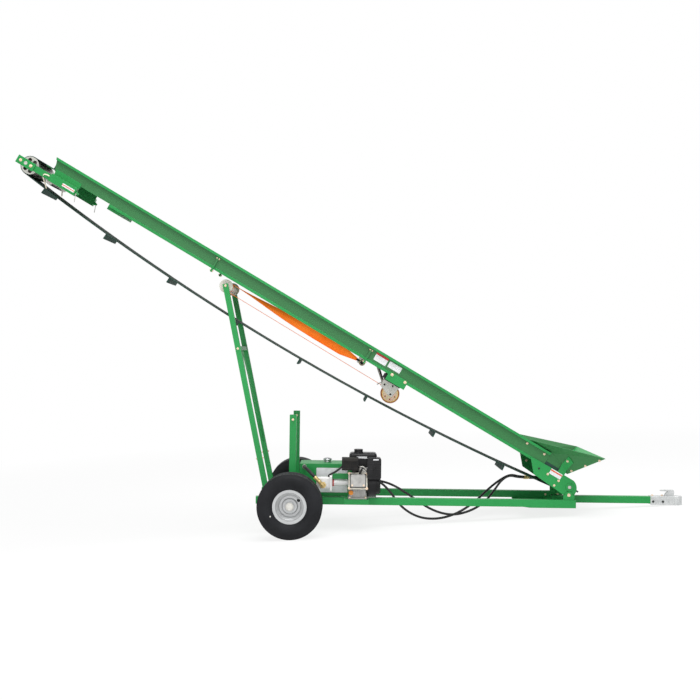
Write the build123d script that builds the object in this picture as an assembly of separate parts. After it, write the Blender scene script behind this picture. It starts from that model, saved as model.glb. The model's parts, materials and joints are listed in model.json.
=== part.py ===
from build123d import *
from math import asin, atan2, cos, degrees, hypot, pi, radians, sin, sqrt, tan
import os

# Firewood conveyor on a two-wheeled tow frame, in millimetres.
# It is drawn with the frame rails level and the axle's centre at zero: X runs to the coupler,
# Y to the far side and Z up. Last of all it is set down as it parks, on its tyres and its coupler.

# Wheels and axle
tyre_od = 450
tyre_width = 200
bead_dia = 203
rim_flange_od = 236
rim_width = 150
rim_sheet = 4
track = 1060
hub_od = 62
hub_length = 110
spindle_dia = 25
axle_side = 44
groove_count = 3
groove_deep = 7
groove_wide = 12
groove_draft = 1
shoulder_drop = 14
shoulder_step = 8
tread_share = 0.78
disc_inset = 18
dish_deep = 14
dish_inner = 14
dish_outer = 22
stub_gap = 4
running_fit = 0.05
seat_gap = 0.3
cut_over = 1

# Tow frame
tube_side = 50.8
tube_wall = 3
rail_gauge = 500
rail_rear = -260
rail_front = 2028
front_plate_rear = 1700
front_plate_thick = 6
front_plate_chamfer = 60
drawbar_rear = 1900
coupler_rear = 2628
coupler_length = 238
coupler_lap = 110
coupler_width = 62
coupler_nose_dia = 76
coupler_top = 30
coupler_bottom = -34
coupler_round = 5
latch_width = 26
# the latch's side view: x from its foot, z over the coupler's top
latch_outline = ((0, 0), (64, 0), (70, 30), (62, 45), (-32, 43), (-32, 35), (24, 33), (8, 20))
ball_socket_dia = 51.5
socket_deep = 40

# Rest posts
post_side = 48
post_top = 611
post_pin_dia = 12
post_pin_drop = 32
post_pin_length = 86

# Boom: u runs up the boom from its pivot, n is square to it
boom_angle = 30.2
pivot_x = 1978
pivot_z = 61
pivot_bolt_dia = 18
bolt_end = 10
wall_bottom = 80
wall_top = 194
wall_outer_y = 250
wall_sheet = 3
flange_reach = 20
lip_depth = 18
hem_depth = 20
head_u = 4541
head_overhang = 160
section_ends = (262, 1744, 3020, head_u - head_overhang)
splice_thick = 6
splice_reach = 16
head_wall_length = 491
head_wall_start = section_ends[3] - head_wall_length
head_wall_bottom = wall_bottom + hem_depth
head_wall_rake = 31
bed_sheet = 3
bed_start = 150
bed_head_gap = 119
crossbar_side = 30

# Belt, pulley and drum
belt_width = 380
belt_thick = 6
belt_sag_radius = 17700
cleat_count = 17
cleat_height = 38
cleat_thick = 12
cleat_width = 360
cleat_phase = 0.0505
head_n = 44
head_radius = 64
tail_u = 22
tail_n = 50
tail_radius = 45
shaft_dia = 25
drum_overhang = 5
pulley_sheet = 5
pulley_disc = 12
spoke_hole_dia = 30
spoke_hole_ring = 80
spoke_holes = 6

# Head take-up
sleeve_deep = 60
sleeve_wide = 40
sleeve_wall = 3
sleeve_length = 209
sleeve_setback = 39
sleeve_lift = 4
hanger_lap = 20
sleeve_end = section_ends[3] - sleeve_setback
sleeve_start = sleeve_end - sleeve_length
takeup_side = 45
arm_setback = 40
screw_dia = 16
screw_start = 30
screw_long = 54
screw_nut = 28
screw_nut_thick = 13
bearing_plate_long = 140
bearing_plate_wide = 58
bearing_plate_thick = 10
bearing_dia = 54
bearing_deep = 24
snub_dia = 60
snub_lead = 22
snub_u = sleeve_end + snub_lead
snub_n = 24
snub_shaft_dia = 16

# Tail plates and hopper
plate_thick = 6
tail_round = 56
hopper_sheet = 3
hopper_flare = 226
hopper_low = 126
hopper_fold = 196
hopper_front_u = 450
hopper_fold_gap = 7
# (u, n) of the side sheet's low rear corner and of the flare's tip
hopper_corner = (84, 125)
hopper_tip = (-37, 351)
# the tail plate's arm on the lower flare: share of the way up its fold, share out to its tip
arm_corners = ((0.11, 0.014), (0.42, 0.014), (0.63, 0.31), (0.32, 0.31))
plate_tip_u = 377
plate_tip_rise = 18
plate_heel = (292, 0)
plate_toe = (-12, -22)
plate_nose_drop = 4
plate_horn_u0 = 100
plate_horn_u1 = 153
plate_horn_n0 = 135
plate_horn_n1 = 157

# Lift legs
leg_side = 38
leg_wall = 3
leg_foot_x = -187
leg_foot_z = 62
leg_gauge = 500
leg_tail = 20
leg_over = 14
foot_pin_dia = 16
roller_u = 2876
roller_disc_dia = 96
roller_disc_thick = 8
roller_drum_dia = 62
roller_gap = 8
roller_side_gap = 4
roller_pin_dia = 16
brace_bar = 30
brace_sheet = 6
leg_bar_drop = 458
leg_brace_foot = 330

# Lug plates
lug_thick = 8
lug_side_gap = 1
boom_lug_half = 40
boom_lug_round = 26
foot_lug_half = 24
foot_lug_thick = 5

# Winch and strap
winch_u = 1458
winch_n = -39
winch_gear_dia = 134
winch_plate_gap = 96
winch_sheet = 4
winch_shaft_dia = 20
winch_bracket_u0 = 1400
winch_bracket_u1 = 1554
winch_bracket_n = 38
winch_bracket_ear = 105
winch_holes = 8
winch_hole_dia = 16
winch_hole_ring = 92
winch_rim = 6
frame_rear = 36
frame_front = 95
# (u, n) from the drum's axis of the frame plates' lower corners
frame_foot = ((92, 16), (14, -16), (-22, -16))
pinion_lead = 70
pinion_rise = 38
pinion_dia = 16
crank_turn = 40.5
crank_long = 230
crank_clear = 12
crank_thick = 8
crank_wide = 20
crank_tail = 12
grip_dia = 28
grip_long = 110
strap_wide = 50
strap_thick = 3
eye_long = 46
eye_back = 10
eye_drop = 20
eye_thick = 10

# Power pack
tank_x0 = 48
tank_x1 = 486
tank_y0 = -200
tank_y1 = 50
tank_top = 257
tank_sheet = 3
filler_x = 246
filler_dia = 46
neck_wall = 6
neck_high = 18
cap_dia = 66
cap_high = 16
engine_plate_x0 = 372
engine_plate_x1 = 545
engine_plate_front = -407
engine_plate_rear = -205
engine_plate_thick = 5
engine_lip = 36
crank_y = -310
crank_height = 106
case_x0 = 405
case_x1 = 531
case_deep = 145
case_rise = 66
cover_plate = 6
foot_reach = 12
foot_thick = 10
cylinder_lean = 13
barrel_dia = 84
fin_start = 66
fin_count = 5
fin_pitch = 9
fin_thick = 3
fin_wide = 118
fin_high = 104
head_thick = 16
cover_wide = 106
cover_high = 90
cover_deep = 24
cover_round = 14
fan_dia = 196
fan_deep = 66
recoil_dia = 160
recoil_deep = 30
recoil_slots = 12
cleaner_wide = 98
cleaner_deep = 90
cleaner_high = 150
cleaner_top = 328
fuel_long = 196
fuel_deep = 138
fuel_low = 252
fuel_top = 352
fuel_round = 22
fuel_cap_dia = 62
fuel_neck_high = 9
fuel_cap_high = 14
muffler_x0 = 354
muffler_long = 116
muffler_deep = 96
muffler_low = 238
muffler_top = 326
muffler_round = 16
elbow_dia = 28
elbow_lap = 4
pump_flange_x = 286
pump_flange_thick = 18
pump_flange_side = 112
pump_long = 94
pump_side = 84
pump_round = 12
port_dia = 56
port_reach = 14
bridge_side = 38
bridge_gap = 4
coupling_dia = 46
suction_dia = 22
hose_dia = 17
fitting_dia = 21
port_long = 14
# (y, z) of each hose's port on the tank, and of its end at the motor
ports = ((-120, 150), (-60, 130))
hose_ends = ((300, 122), (340, 112))
hose_end_x = 1790

# Drive motor
motor_neck = 15
motor_neck_dia = 46
motor_dia = 84
motor_long = 110

# Parking: the coupler's underside rests on the floor
axle_height = tyre_od / 2
coupler_front = coupler_rear + coupler_length
drawbar_front = coupler_rear + coupler_lap
half_tube = tube_side / 2
half_gauge = rail_gauge / 2
rail_top = half_tube
park_angle = degrees(
    asin(axle_height / hypot(coupler_front, coupler_bottom)) - atan2(-coupler_bottom, coupler_front)
)

tilt = radians(boom_angle)
boom_plane = Plane(
    origin=(pivot_x, 0, pivot_z), x_dir=(-cos(tilt), 0, sin(tilt)), z_dir=(0, 1, 0)
)
nodes = {}


def boom_point(u, n, y=0):
    """The place in the frame's axes of a point on the boom."""
    return boom_plane.from_local_coords(Vector(u, n, y))


def boom_slab(points, y0, y1):
    """A plate of the given (u, n) outline between two planes across the boom."""
    face = boom_plane.offset(y0) * make_face(Polyline(*points, close=True))
    return extrude(face, amount=y1 - y0, dir=(0, 1, 0))


def boom_box(u0, u1, n0, n1, y0, y1):
    """A block along the boom."""
    return boom_slab([(u0, n0), (u1, n0), (u1, n1), (u0, n1)], y0, y1)


def boom_round(u, n, radius, y0, y1):
    """A round bar across the boom."""
    face = boom_plane.offset(y0) * (Pos(u, n) * Circle(radius))
    return extrude(face, amount=y1 - y0, dir=(0, 1, 0))


def block(x0, x1, y0, y1, z0, z1):
    """A block in the frame's axes."""
    centre = ((x0 + x1) / 2, (y0 + y1) / 2, (z0 + z1) / 2)
    return Pos(*centre) * Box(x1 - x0, y1 - y0, z1 - z0)


def cross_bar(x, z, radius, y0, y1):
    """A round bar across the frame."""
    return Pos(x, (y0 + y1) / 2, z) * Rot(90, 0, 0) * Cylinder(radius, y1 - y0)


def square_tube(start, end, side, wall, across=(0, 1, 0)):
    """A square tube from one end to the other, with two of its sides square to the given way."""
    axis = Vector(end) - Vector(start)
    plane = Plane(origin=start, x_dir=across, z_dir=axis.normalized())
    ring = Rectangle(side, side) - Rectangle(side - 2 * wall, side - 2 * wall)
    return extrude(plane * ring, amount=axis.length)


# Rails, axle and drawbar
rails = []
for side in (-1, 1):
    y = side * half_gauge
    rails.append(square_tube((rail_rear, y, 0), (rail_front, y, 0), tube_side, tube_wall))
nodes["rails"] = Compound(rails)

rail_inner = half_gauge - half_tube
rail_outer = half_gauge + half_tube
stub_end = track / 2 - hub_length / 2 - stub_gap
spindle_end = track / 2 + hub_length / 2
axle = [square_tube((0, -rail_inner, 0), (0, rail_inner, 0), axle_side, tube_wall, (1, 0, 0))]
for side in (-1, 1):
    stub_y = sorted((side * rail_outer, side * stub_end))
    spindle_y = sorted((side * rail_outer, side * spindle_end))
    stub = block(-axle_side / 2, axle_side / 2, *stub_y, -axle_side / 2, axle_side / 2)
    axle.append(stub + cross_bar(0, 0, spindle_dia / 2, *spindle_y))
nodes["axle"] = Compound(axle)

plate_outline = Polyline(
    (front_plate_rear, -rail_outer),
    (rail_front, -rail_outer),
    (rail_front, rail_outer),
    (front_plate_rear, rail_outer),
    (front_plate_rear - front_plate_chamfer, rail_outer - front_plate_chamfer),
    (front_plate_rear - front_plate_chamfer, -rail_outer + front_plate_chamfer),
    close=True,
)
plate_low = -half_tube - front_plate_thick
nodes["front_plate"] = extrude(Pos(0, 0, plate_low) * make_face(plate_outline), amount=front_plate_thick)
nodes["drawbar"] = square_tube((drawbar_rear, 0, 0), (drawbar_front, 0, 0), tube_side, tube_wall)

# Coupler: a pressed channel over the drawbar's end, with a ball socket under its round nose
nose_radius = coupler_nose_dia / 2
half_coupler = coupler_width / 2
socket_x = coupler_front - nose_radius
coupler_plan = make_face(
    Polyline(
        (coupler_rear, -half_coupler),
        (socket_x, -half_coupler),
        (socket_x, half_coupler),
        (coupler_rear, half_coupler),
        close=True,
    )
) + Pos(socket_x, 0) * Circle(nose_radius)
coupler = extrude(Pos(0, 0, coupler_bottom) * coupler_plan, amount=coupler_top - coupler_bottom)
coupler = fillet(coupler.faces().sort_by(Axis.Z)[-1].edges(), coupler_round)
channel_half = half_tube + seat_gap
coupler -= block(
    coupler_rear - cut_over, drawbar_front + seat_gap, -channel_half, channel_half,
    coupler_bottom - cut_over, channel_half,
)
coupler -= Pos(socket_x, 0, coupler_bottom + socket_deep / 2) * Cylinder(ball_socket_dia / 2, socket_deep)
nodes["coupler_body"] = coupler
latch_side = Polyline(*((drawbar_front + x, z) for x, z in latch_outline), close=True)
latch_plane = Plane(origin=(0, latch_width / 2, coupler_top), x_dir=(1, 0, 0), z_dir=(0, -1, 0))
nodes["coupler_latch"] = extrude(latch_plane * make_face(latch_side), amount=latch_width)

# Rest posts with their pins
posts = []
for side in (-1, 1):
    y = side * half_gauge
    post = square_tube((0, y, rail_top + seat_gap), (0, y, post_top), post_side, tube_wall)
    pin = cross_bar(
        0, post_top - post_pin_drop, post_pin_dia / 2, y - post_pin_length / 2, y + post_pin_length / 2
    )
    posts.append(post + pin)
nodes["rest_posts"] = Compound(posts)

# Wheels: a revolved tyre on a stepped pressed rim with a hub
half_tyre = tyre_width / 2
bead_r = bead_dia / 2
flange_r = rim_flange_od / 2
half_rim = rim_width / 2
tyre_r = tyre_od / 2
tread_half = half_tyre * tread_share
shoulder_half = tread_half + shoulder_step
shoulder_r = tyre_r - shoulder_drop
tyre_inner_r = bead_r + seat_gap
bead_half = half_rim - rim_sheet - seat_gap
belly_r = (flange_r + tyre_r) / 2
tread = [(shoulder_r, shoulder_half), (tyre_r, tread_half)]
groove_pitch = 2 * tread_half / (groove_count + 1)
half_groove = groove_wide / 2
for index in range(groove_count):
    groove_y = tread_half - (index + 1) * groove_pitch
    tread += [
        (tyre_r, groove_y + half_groove), (tyre_r - groove_deep, groove_y + half_groove - groove_draft),
        (tyre_r - groove_deep, groove_y - half_groove + groove_draft), (tyre_r, groove_y - half_groove),
    ]
tread += [(tyre_r, -tread_half), (shoulder_r, -shoulder_half)]
tyre_section = make_face(
    [
        Line((tyre_inner_r, -bead_half), (tyre_inner_r, bead_half)),
        Line((tyre_inner_r, bead_half), (flange_r, bead_half)),
        ThreePointArc((flange_r, bead_half), (belly_r, half_tyre), (shoulder_r, shoulder_half)),
        *Polyline(*tread).edges(),
        ThreePointArc((shoulder_r, -shoulder_half), (belly_r, -half_tyre), (flange_r, -bead_half)),
        Line((flange_r, -bead_half), (tyre_inner_r, -bead_half)),
    ]
)
hub_r = hub_od / 2
disc_y = -disc_inset
dish_y = disc_y - dish_deep
rim_section = make_face(
    Polyline(
        (bead_r, -half_rim + rim_sheet),
        (bead_r, half_rim - rim_sheet),
        (flange_r, half_rim - rim_sheet),
        (flange_r, half_rim),
        (bead_r - rim_sheet, half_rim),
        (bead_r - rim_sheet, disc_y + rim_sheet),
        (hub_r + dish_outer, disc_y + rim_sheet),
        (hub_r + dish_inner, dish_y + rim_sheet),
        (hub_r, dish_y + rim_sheet),
        (hub_r, hub_length / 2),
        (spindle_dia / 2 + running_fit, hub_length / 2),
        (spindle_dia / 2 + running_fit, -hub_length / 2),
        (hub_r, -hub_length / 2),
        (hub_r, dish_y),
        (hub_r + dish_inner + rim_sheet, dish_y),
        (hub_r + dish_outer + rim_sheet, disc_y),
        (bead_r - rim_sheet, disc_y),
        (bead_r - rim_sheet, -half_rim),
        (flange_r, -half_rim),
        (flange_r, -half_rim + rim_sheet),
        close=True,
    )
)
wheel_plane = Plane(origin=(0, 0, 0), x_dir=(1, 0, 0), z_dir=(0, 0, 1))
tyre = revolve(wheel_plane * tyre_section, axis=Axis.Y)
rim = revolve(wheel_plane * rim_section, axis=Axis.Y)
for name, side in (("near", -1), ("far", 1)):
    turn = Rot(0, 0, 0) if side < 0 else Rot(0, 0, 180)
    place = Pos(0, side * track / 2, 0) * turn
    nodes[f"tyre_{name}"] = place * tyre
    nodes[f"rim_{name}"] = place * rim

# Boom walls: folded sheet with a top flange, a lip and a bottom hem, in three spliced sections
section_names = ("boom_lower", "boom_middle", "boom_upper")
inner_y = wall_outer_y - wall_sheet
flange_y = wall_outer_y + flange_reach
for index, name in enumerate(section_names):
    u0, u1 = section_ends[index], section_ends[index + 1]
    walls = []
    for side in (-1, 1):

        def strip(a, b, n0, n1, ua=u0, ub=u1, s=side):
            y0, y1 = sorted((s * a, s * b))
            return boom_box(ua, ub, n0, n1, y0, y1)

        wall = strip(inner_y, wall_outer_y, wall_bottom, wall_top)
        wall += strip(inner_y, flange_y, wall_top - wall_sheet, wall_top)
        wall += strip(flange_y - wall_sheet, flange_y, wall_top - lip_depth, wall_top)
        wall += strip(inner_y, wall_outer_y + wall_sheet, wall_bottom, wall_bottom + hem_depth)
        for splice_u, inward in ((u0, 1), (u1, -1)):
            if splice_u in section_ends[1:3]:
                ends = sorted((splice_u, splice_u + inward * splice_thick))
                wall += strip(
                    inner_y, wall_outer_y + splice_reach, wall_bottom, wall_top - lip_depth, *ends
                )
        if index == 2:
            cut = strip(
                inner_y - cut_over, flange_y + cut_over, wall_bottom - cut_over, head_wall_bottom,
                head_wall_start, u1 + cut_over,
            )
            wall -= cut
            rake = [
                (u1 - head_wall_rake, wall_bottom), (u1 - head_wall_rake, head_wall_bottom), (u1, wall_top),
                (u1 + head_wall_rake, wall_top), (u1 + head_wall_rake, wall_bottom),
            ]
            wall -= boom_slab(rake, *sorted((side * (inner_y - cut_over), side * (flange_y + cut_over))))
        walls.append(wall)
    nodes[name] = Compound(walls)

# Belt loop: tail drum, straight carrying run, head pulley and a hanging return run
tail = Vector(tail_u, tail_n)
head = Vector(head_u, head_n)
span = head - tail
span_length = span.length
run_angle = atan2(span.Y, span.X) + asin((head_radius - tail_radius) / span_length)
run_normal = Vector(-sin(run_angle), cos(run_angle))
run_along = Vector(cos(run_angle), sin(run_angle))
to_head = belt_sag_radius - head_radius
to_tail = belt_sag_radius - tail_radius
share = (to_tail**2 - to_head**2 + span_length**2) / (2 * span_length)
rise = sqrt(to_tail**2 - share**2)
span_dir = span.normalized()
sag_centre = tail + span_dir * share + Vector(-span_dir.Y, span_dir.X) * rise
head_down = (head - sag_centre).normalized()
tail_down = (tail - sag_centre).normalized()
mid_down = (head_down + tail_down).normalized()


def belt_wire(extra):
    """The belt's loop, a given distance outside the drums."""
    head_top = head + run_normal * (head_radius + extra)
    tail_top = tail + run_normal * (tail_radius + extra)
    head_low = head + head_down * (head_radius + extra)
    tail_low = tail + tail_down * (tail_radius + extra)
    head_tip = head + run_along * (head_radius + extra)
    tail_tip = tail - run_along * (tail_radius + extra)
    sag_mid = sag_centre + mid_down * (belt_sag_radius + extra)
    return Wire(
        [
            Edge.make_line(tail_top, head_top),
            Edge.make_three_point_arc(head_top, head_tip, head_low),
            Edge.make_three_point_arc(head_low, sag_mid, tail_low),
            Edge.make_three_point_arc(tail_low, tail_tip, tail_top),
        ]
    )


outer_loop = belt_wire(belt_thick)
belt_face = Face(outer_loop) - Face(belt_wire(seat_gap))
half_belt = belt_width / 2
belt = extrude(boom_plane.offset(-half_belt) * belt_face, amount=belt_width, dir=(0, 1, 0))
for count in range(cleat_count):
    share_along = (count / cleat_count + cleat_phase) % 1
    foot = outer_loop.position_at(share_along)
    along = outer_loop.tangent_at(share_along)
    angle = degrees(atan2(along.Y, along.X))
    outline = Pos(foot.X, foot.Y) * Rot(0, 0, angle) * Rectangle(cleat_thick, 2 * cleat_height)
    cleat = extrude(
        boom_plane.offset(-cleat_width / 2) * outline, amount=cleat_width, dir=(0, 1, 0)
    )
    belt += cleat
inner_space = extrude(
    boom_plane.offset(-half_belt) * Face(belt_wire(seat_gap)), amount=belt_width, dir=(0, 1, 0)
)
nodes["belt"] = belt - inner_space

# Slider bed under the carrying run
bed_end = head_u - tail_u - bed_head_gap
bed_low = tail + run_normal * (tail_radius - bed_sheet)
bed_points = []
for distance, lift in (
    (bed_start, 0), (bed_end, 0), (bed_end, bed_sheet), (bed_start, bed_sheet),
):
    spot = bed_low + run_along * distance + run_normal * lift
    bed_points.append((spot.X, spot.Y))
nodes["bed"] = boom_slab(bed_points, -inner_y, inner_y)

# Head pulley, tail drum and snub roller on their shafts
drum_half = half_belt + drum_overhang
pulley_inner = drum_half - pulley_disc
pulley = boom_round(head_u, head_n, head_radius, -drum_half, drum_half)
pulley -= boom_round(head_u, head_n, head_radius - pulley_sheet, -pulley_inner, pulley_inner)
for index in range(spoke_holes):
    turn = 2 * pi * index / spoke_holes
    ring_r = spoke_hole_ring / 2
    pulley -= boom_round(
        head_u + ring_r * cos(turn), head_n + ring_r * sin(turn), spoke_hole_dia / 2,
        -drum_half - cut_over, drum_half + cut_over,
    )
sleeve_y0 = wall_outer_y + wall_sheet
bearing_y0 = sleeve_y0 + sleeve_wide - sleeve_wall - seat_gap
bearing_y1 = bearing_y0 + bearing_plate_thick
pulley += boom_round(head_u, head_n, shaft_dia / 2, -bearing_y1, bearing_y1)
nodes["head_pulley"] = pulley
tail_drum = boom_round(tail_u, tail_n, tail_radius, -drum_half, drum_half)
plate_y = wall_outer_y + wall_sheet
plate_outer_y = plate_y + plate_thick
tail_drum += boom_round(tail_u, tail_n, shaft_dia / 2, -plate_outer_y, plate_outer_y)
nodes["tail_drum"] = tail_drum
snub_shaft_end = sleeve_y0 + sleeve_wall
nodes["snub_roller"] = boom_round(snub_u, snub_n, snub_dia / 2, -half_belt, half_belt) + boom_round(
    snub_u, snub_n, snub_shaft_dia / 2, -snub_shaft_end, snub_shaft_end
)

# Head take-up: sleeves hung from the walls, with the arms that carry the pulley's bearings
takeups = []
half_arm = takeup_side / 2
half_plate = bearing_plate_wide / 2
sleeve_bottom = head_n + sleeve_lift - sleeve_deep / 2
sleeve_top = sleeve_bottom + sleeve_deep
for side in (-1, 1):

    def layer(inside, outside, s=side):
        return sorted((s * inside, s * outside))

    sleeve_y = layer(sleeve_y0, sleeve_y0 + sleeve_wide)
    sleeve = boom_box(sleeve_start, sleeve_end, sleeve_bottom, sleeve_top, *sleeve_y)
    sleeve -= boom_box(
        sleeve_start + sleeve_wall, sleeve_end + cut_over,
        sleeve_bottom + sleeve_wall, sleeve_top - sleeve_wall,
        *layer(sleeve_y0 + sleeve_wall, sleeve_y0 + sleeve_wide - sleeve_wall),
    )
    sleeve += boom_box(
        sleeve_start, sleeve_end, sleeve_bottom, head_wall_bottom + hanger_lap, *layer(wall_outer_y, sleeve_y0)
    )
    arm = boom_box(
        sleeve_start + screw_start, head_u - arm_setback, head_n - half_arm, head_n + half_arm,
        *layer(sleeve_y0 + sleeve_wall + seat_gap, bearing_y0),
    )
    bearing = boom_box(
        head_u - bearing_plate_long / 2, head_u + bearing_plate_long / 2,
        head_n - half_plate, head_n + half_plate,
        *layer(bearing_y0, bearing_y1),
    )
    bearing += boom_round(head_u, head_n, bearing_dia / 2, *layer(bearing_y0 - bearing_deep, bearing_y0))
    bearing -= boom_round(
        head_u, head_n, shaft_dia / 2 + running_fit,
        *layer(bearing_y0 - bearing_deep - cut_over, bearing_y1 + cut_over),
    )
    screw_y = side * (sleeve_y0 + sleeve_wide / 2)
    screw_plane = Plane(
        origin=boom_point(sleeve_start + screw_start, head_n, screw_y), x_dir=(0, 1, 0), z_dir=-boom_plane.x_dir
    )
    screw = extrude(screw_plane * Circle(screw_dia / 2), amount=screw_long)
    nut_plane = screw_plane.offset(screw_start)
    screw += extrude(nut_plane * RegularPolygon(screw_nut / 2, 6), amount=screw_nut_thick)
    takeups.append(sleeve + arm + bearing + screw)
nodes["take_ups"] = Compound(takeups)

# Boom lugs on the rails' front ends, with the pivot bolts
boom_lugs = []
lug_y0 = plate_outer_y + lug_side_gap
for side in (-1, 1):
    y0, y1 = sorted((side * lug_y0, side * (lug_y0 + lug_thick)))
    lug = block(pivot_x - boom_lug_half, pivot_x + boom_lug_half, y0, y1, rail_top, pivot_z)
    lug += cross_bar(pivot_x, pivot_z, boom_lug_round, y0, y1)
    bolt_y = sorted((side * (plate_y - bolt_end), side * (lug_y0 + lug_thick)))
    lug += cross_bar(pivot_x, pivot_z, pivot_bolt_dia / 2, *bolt_y)
    boom_lugs.append(lug)
nodes["boom_lugs"] = Compound(boom_lugs)

# Hopper: side sheets bolted inside the walls, flared above them, and a sloped end sheet
hopper_y = inner_y - seat_gap
fold_a = (hopper_front_u, hopper_fold)
fold_d = (section_ends[0] - hopper_fold_gap, hopper_fold)
hopper_sides = []
tail_arms = {}
for side in (-1, 1):
    y0, y1 = sorted((side * hopper_y, side * (hopper_y - hopper_sheet)))
    sheet = boom_slab([(fold_a[0], hopper_low), fold_a, fold_d, hopper_corner], y0, y1)
    base_y = side * (hopper_y - hopper_sheet)
    tip = boom_point(*hopper_tip, base_y + side * hopper_flare)
    corner_a, corner_d, corner_c = (boom_point(*spot, base_y) for spot in (fold_a, fold_d, hopper_corner))
    for first, second in ((corner_a, corner_d), (corner_d, corner_c)):
        flare = Face(Wire.make_polygon([first, second, tip], close=True))
        out = (second - first).cross(tip - first).normalized()
        out = out if out.Y * side > 0 else -out
        sheet += extrude(flare, amount=hopper_sheet, dir=out)
    hopper_sides.append(sheet)
    # the tail plate's arm, bent to lie along the outside of the lower flare
    lift = out * (hopper_sheet + seat_gap)
    arm_spots = []
    for along, share in arm_corners:
        arm_spots.append(corner_c + (corner_d - corner_c) * along + (tip - corner_c) * share + lift)
    tail_arms[side] = extrude(Face(Wire.make_polygon(arm_spots, close=True)), amount=plate_thick, dir=out)
nodes["hopper_sides"] = Compound(hopper_sides)
end_half = hopper_y - hopper_sheet
end_corners = [
    boom_point(*hopper_corner, -end_half),
    boom_point(*hopper_corner, end_half),
    boom_point(*hopper_tip, end_half + hopper_flare),
    boom_point(*hopper_tip, -end_half - hopper_flare),
]
end_sheet = Face(Wire.make_polygon(end_corners, close=True))
end_dir = boom_point(-(hopper_tip[1] - hopper_corner[1]), hopper_tip[0] - hopper_corner[0]) - boom_point(0, 0)
end_shift = end_dir.normalized() * seat_gap
nodes["hopper_end"] = Pos(*end_shift) * extrude(end_sheet, amount=hopper_sheet, dir=end_dir.normalized())

# Tail plates that carry the drum and the boom's pivot
plate_brow = tail_n + tail_round
plate_tip = (plate_tip_u, wall_bottom + plate_tip_rise)
tail_outline = make_face(
    [
        *Polyline(plate_tip, plate_heel, plate_toe).edges(),
        ThreePointArc(plate_toe, (tail_u - tail_round, tail_n - plate_nose_drop), (tail_u, plate_brow)),
        *Polyline(
            (tail_u, plate_brow), (plate_horn_u0, plate_brow), (plate_horn_u0, plate_horn_n0),
            (plate_horn_u1, plate_horn_n1), (plate_horn_u1, plate_brow), plate_tip,
        ).edges(),
    ]
)
tail_plates = []
for side in (-1, 1):
    y0 = plate_y if side > 0 else -plate_outer_y
    plate = extrude(
        boom_plane.offset(y0) * tail_outline, amount=plate_thick, dir=(0, 1, 0)
    )
    bore_y = (y0 - cut_over, y0 + plate_thick + cut_over)
    plate -= boom_round(0, 0, pivot_bolt_dia / 2 + running_fit, *bore_y)
    plate -= boom_round(tail_u, tail_n, shaft_dia / 2 + running_fit, *bore_y)
    tail_plates.append(plate + tail_arms[side])
nodes["tail_plates"] = Compound(tail_plates)

# Lift legs: a parallel pair with a roller under the boom
roller_n = wall_bottom - roller_gap - roller_disc_dia / 2
roller_axis = boom_point(roller_u, roller_n)
leg_foot = Vector(leg_foot_x, 0, leg_foot_z)
leg_line = Vector(roller_axis.X - leg_foot.X, 0, roller_axis.Z - leg_foot.Z)
leg_dir = leg_line.normalized()
leg_y = leg_gauge / 2
for name, side in (("leg_near", -1), ("leg_far", 1)):
    shift = Vector(0, side * leg_y, 0)
    start = leg_foot - leg_dir * leg_tail + shift
    end = leg_foot + leg_dir * (leg_line.length + leg_over) + shift
    leg = square_tube(start, end, leg_side, leg_wall)
    leg -= cross_bar(
        leg_foot_x, leg_foot_z, foot_pin_dia / 2 + running_fit,
        side * leg_y - leg_side, side * leg_y + leg_side,
    )
    nodes[name] = leg
leg_inner = leg_y - leg_side / 2
disc_y1 = leg_inner - roller_side_gap
roller = cross_bar(roller_axis.X, roller_axis.Z, roller_drum_dia / 2, -disc_y1, disc_y1)
for side in (-1, 1):
    y0, y1 = sorted((side * disc_y1, side * (disc_y1 - roller_disc_thick)))
    roller += cross_bar(roller_axis.X, roller_axis.Z, roller_disc_dia / 2, y0, y1)
roller += cross_bar(roller_axis.X, roller_axis.Z, roller_pin_dia / 2, -leg_inner, leg_inner)
nodes["leg_roller"] = roller
leg_bar_along = leg_line.length - leg_bar_drop
bar_mid = leg_foot + leg_dir * leg_bar_along
bar_start = bar_mid - Vector(0, leg_inner, 0)
bar_end = bar_mid + Vector(0, leg_inner, 0)
leg_bars = [square_tube(bar_start, bar_end, brace_bar, leg_wall, leg_dir)]
brace_drop = leg_dir * (leg_bar_along - leg_brace_foot)
for side in (-1, 1):
    brace_top = bar_mid - leg_dir * (brace_bar / 2 + seat_gap) + Vector(0, side * brace_bar, 0)
    brace_low = bar_mid - brace_drop + Vector(0, side * (leg_inner - seat_gap), 0)
    corners = [brace_top + Vector(0, -brace_bar / 2, 0), brace_top + Vector(0, brace_bar / 2, 0)]
    low_edge = leg_dir * brace_bar
    corners += [brace_low + low_edge / 2, brace_low - low_edge / 2]
    if side < 0:
        corners = [corners[1], corners[0], corners[2], corners[3]]
    brace = Face(Wire.make_polygon(corners, close=True))
    leg_bars.append(extrude(brace, amount=brace_sheet / 2, both=True))
nodes["leg_bars"] = Compound(leg_bars)

# Leg lugs on the rails' rear ends, with the foot pins
leg_lugs = []
ear_gap = leg_side / 2 + lug_side_gap
for side in (-1, 1):
    y = side * leg_y
    pin = cross_bar(leg_foot_x, leg_foot_z, foot_pin_dia / 2, y - ear_gap, y + ear_gap)
    lug = pin
    for hand in (-1, 1):
        y0, y1 = sorted((y + hand * ear_gap, y + hand * (ear_gap + foot_lug_thick)))
        lug += block(
            leg_foot_x - foot_lug_half, leg_foot_x + foot_lug_half, y0, y1, rail_top, leg_foot_z
        )
        lug += cross_bar(leg_foot_x, leg_foot_z, foot_lug_half, y0, y1)
    leg_lugs.append(lug)
nodes["leg_lugs"] = Compound(leg_lugs)

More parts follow.
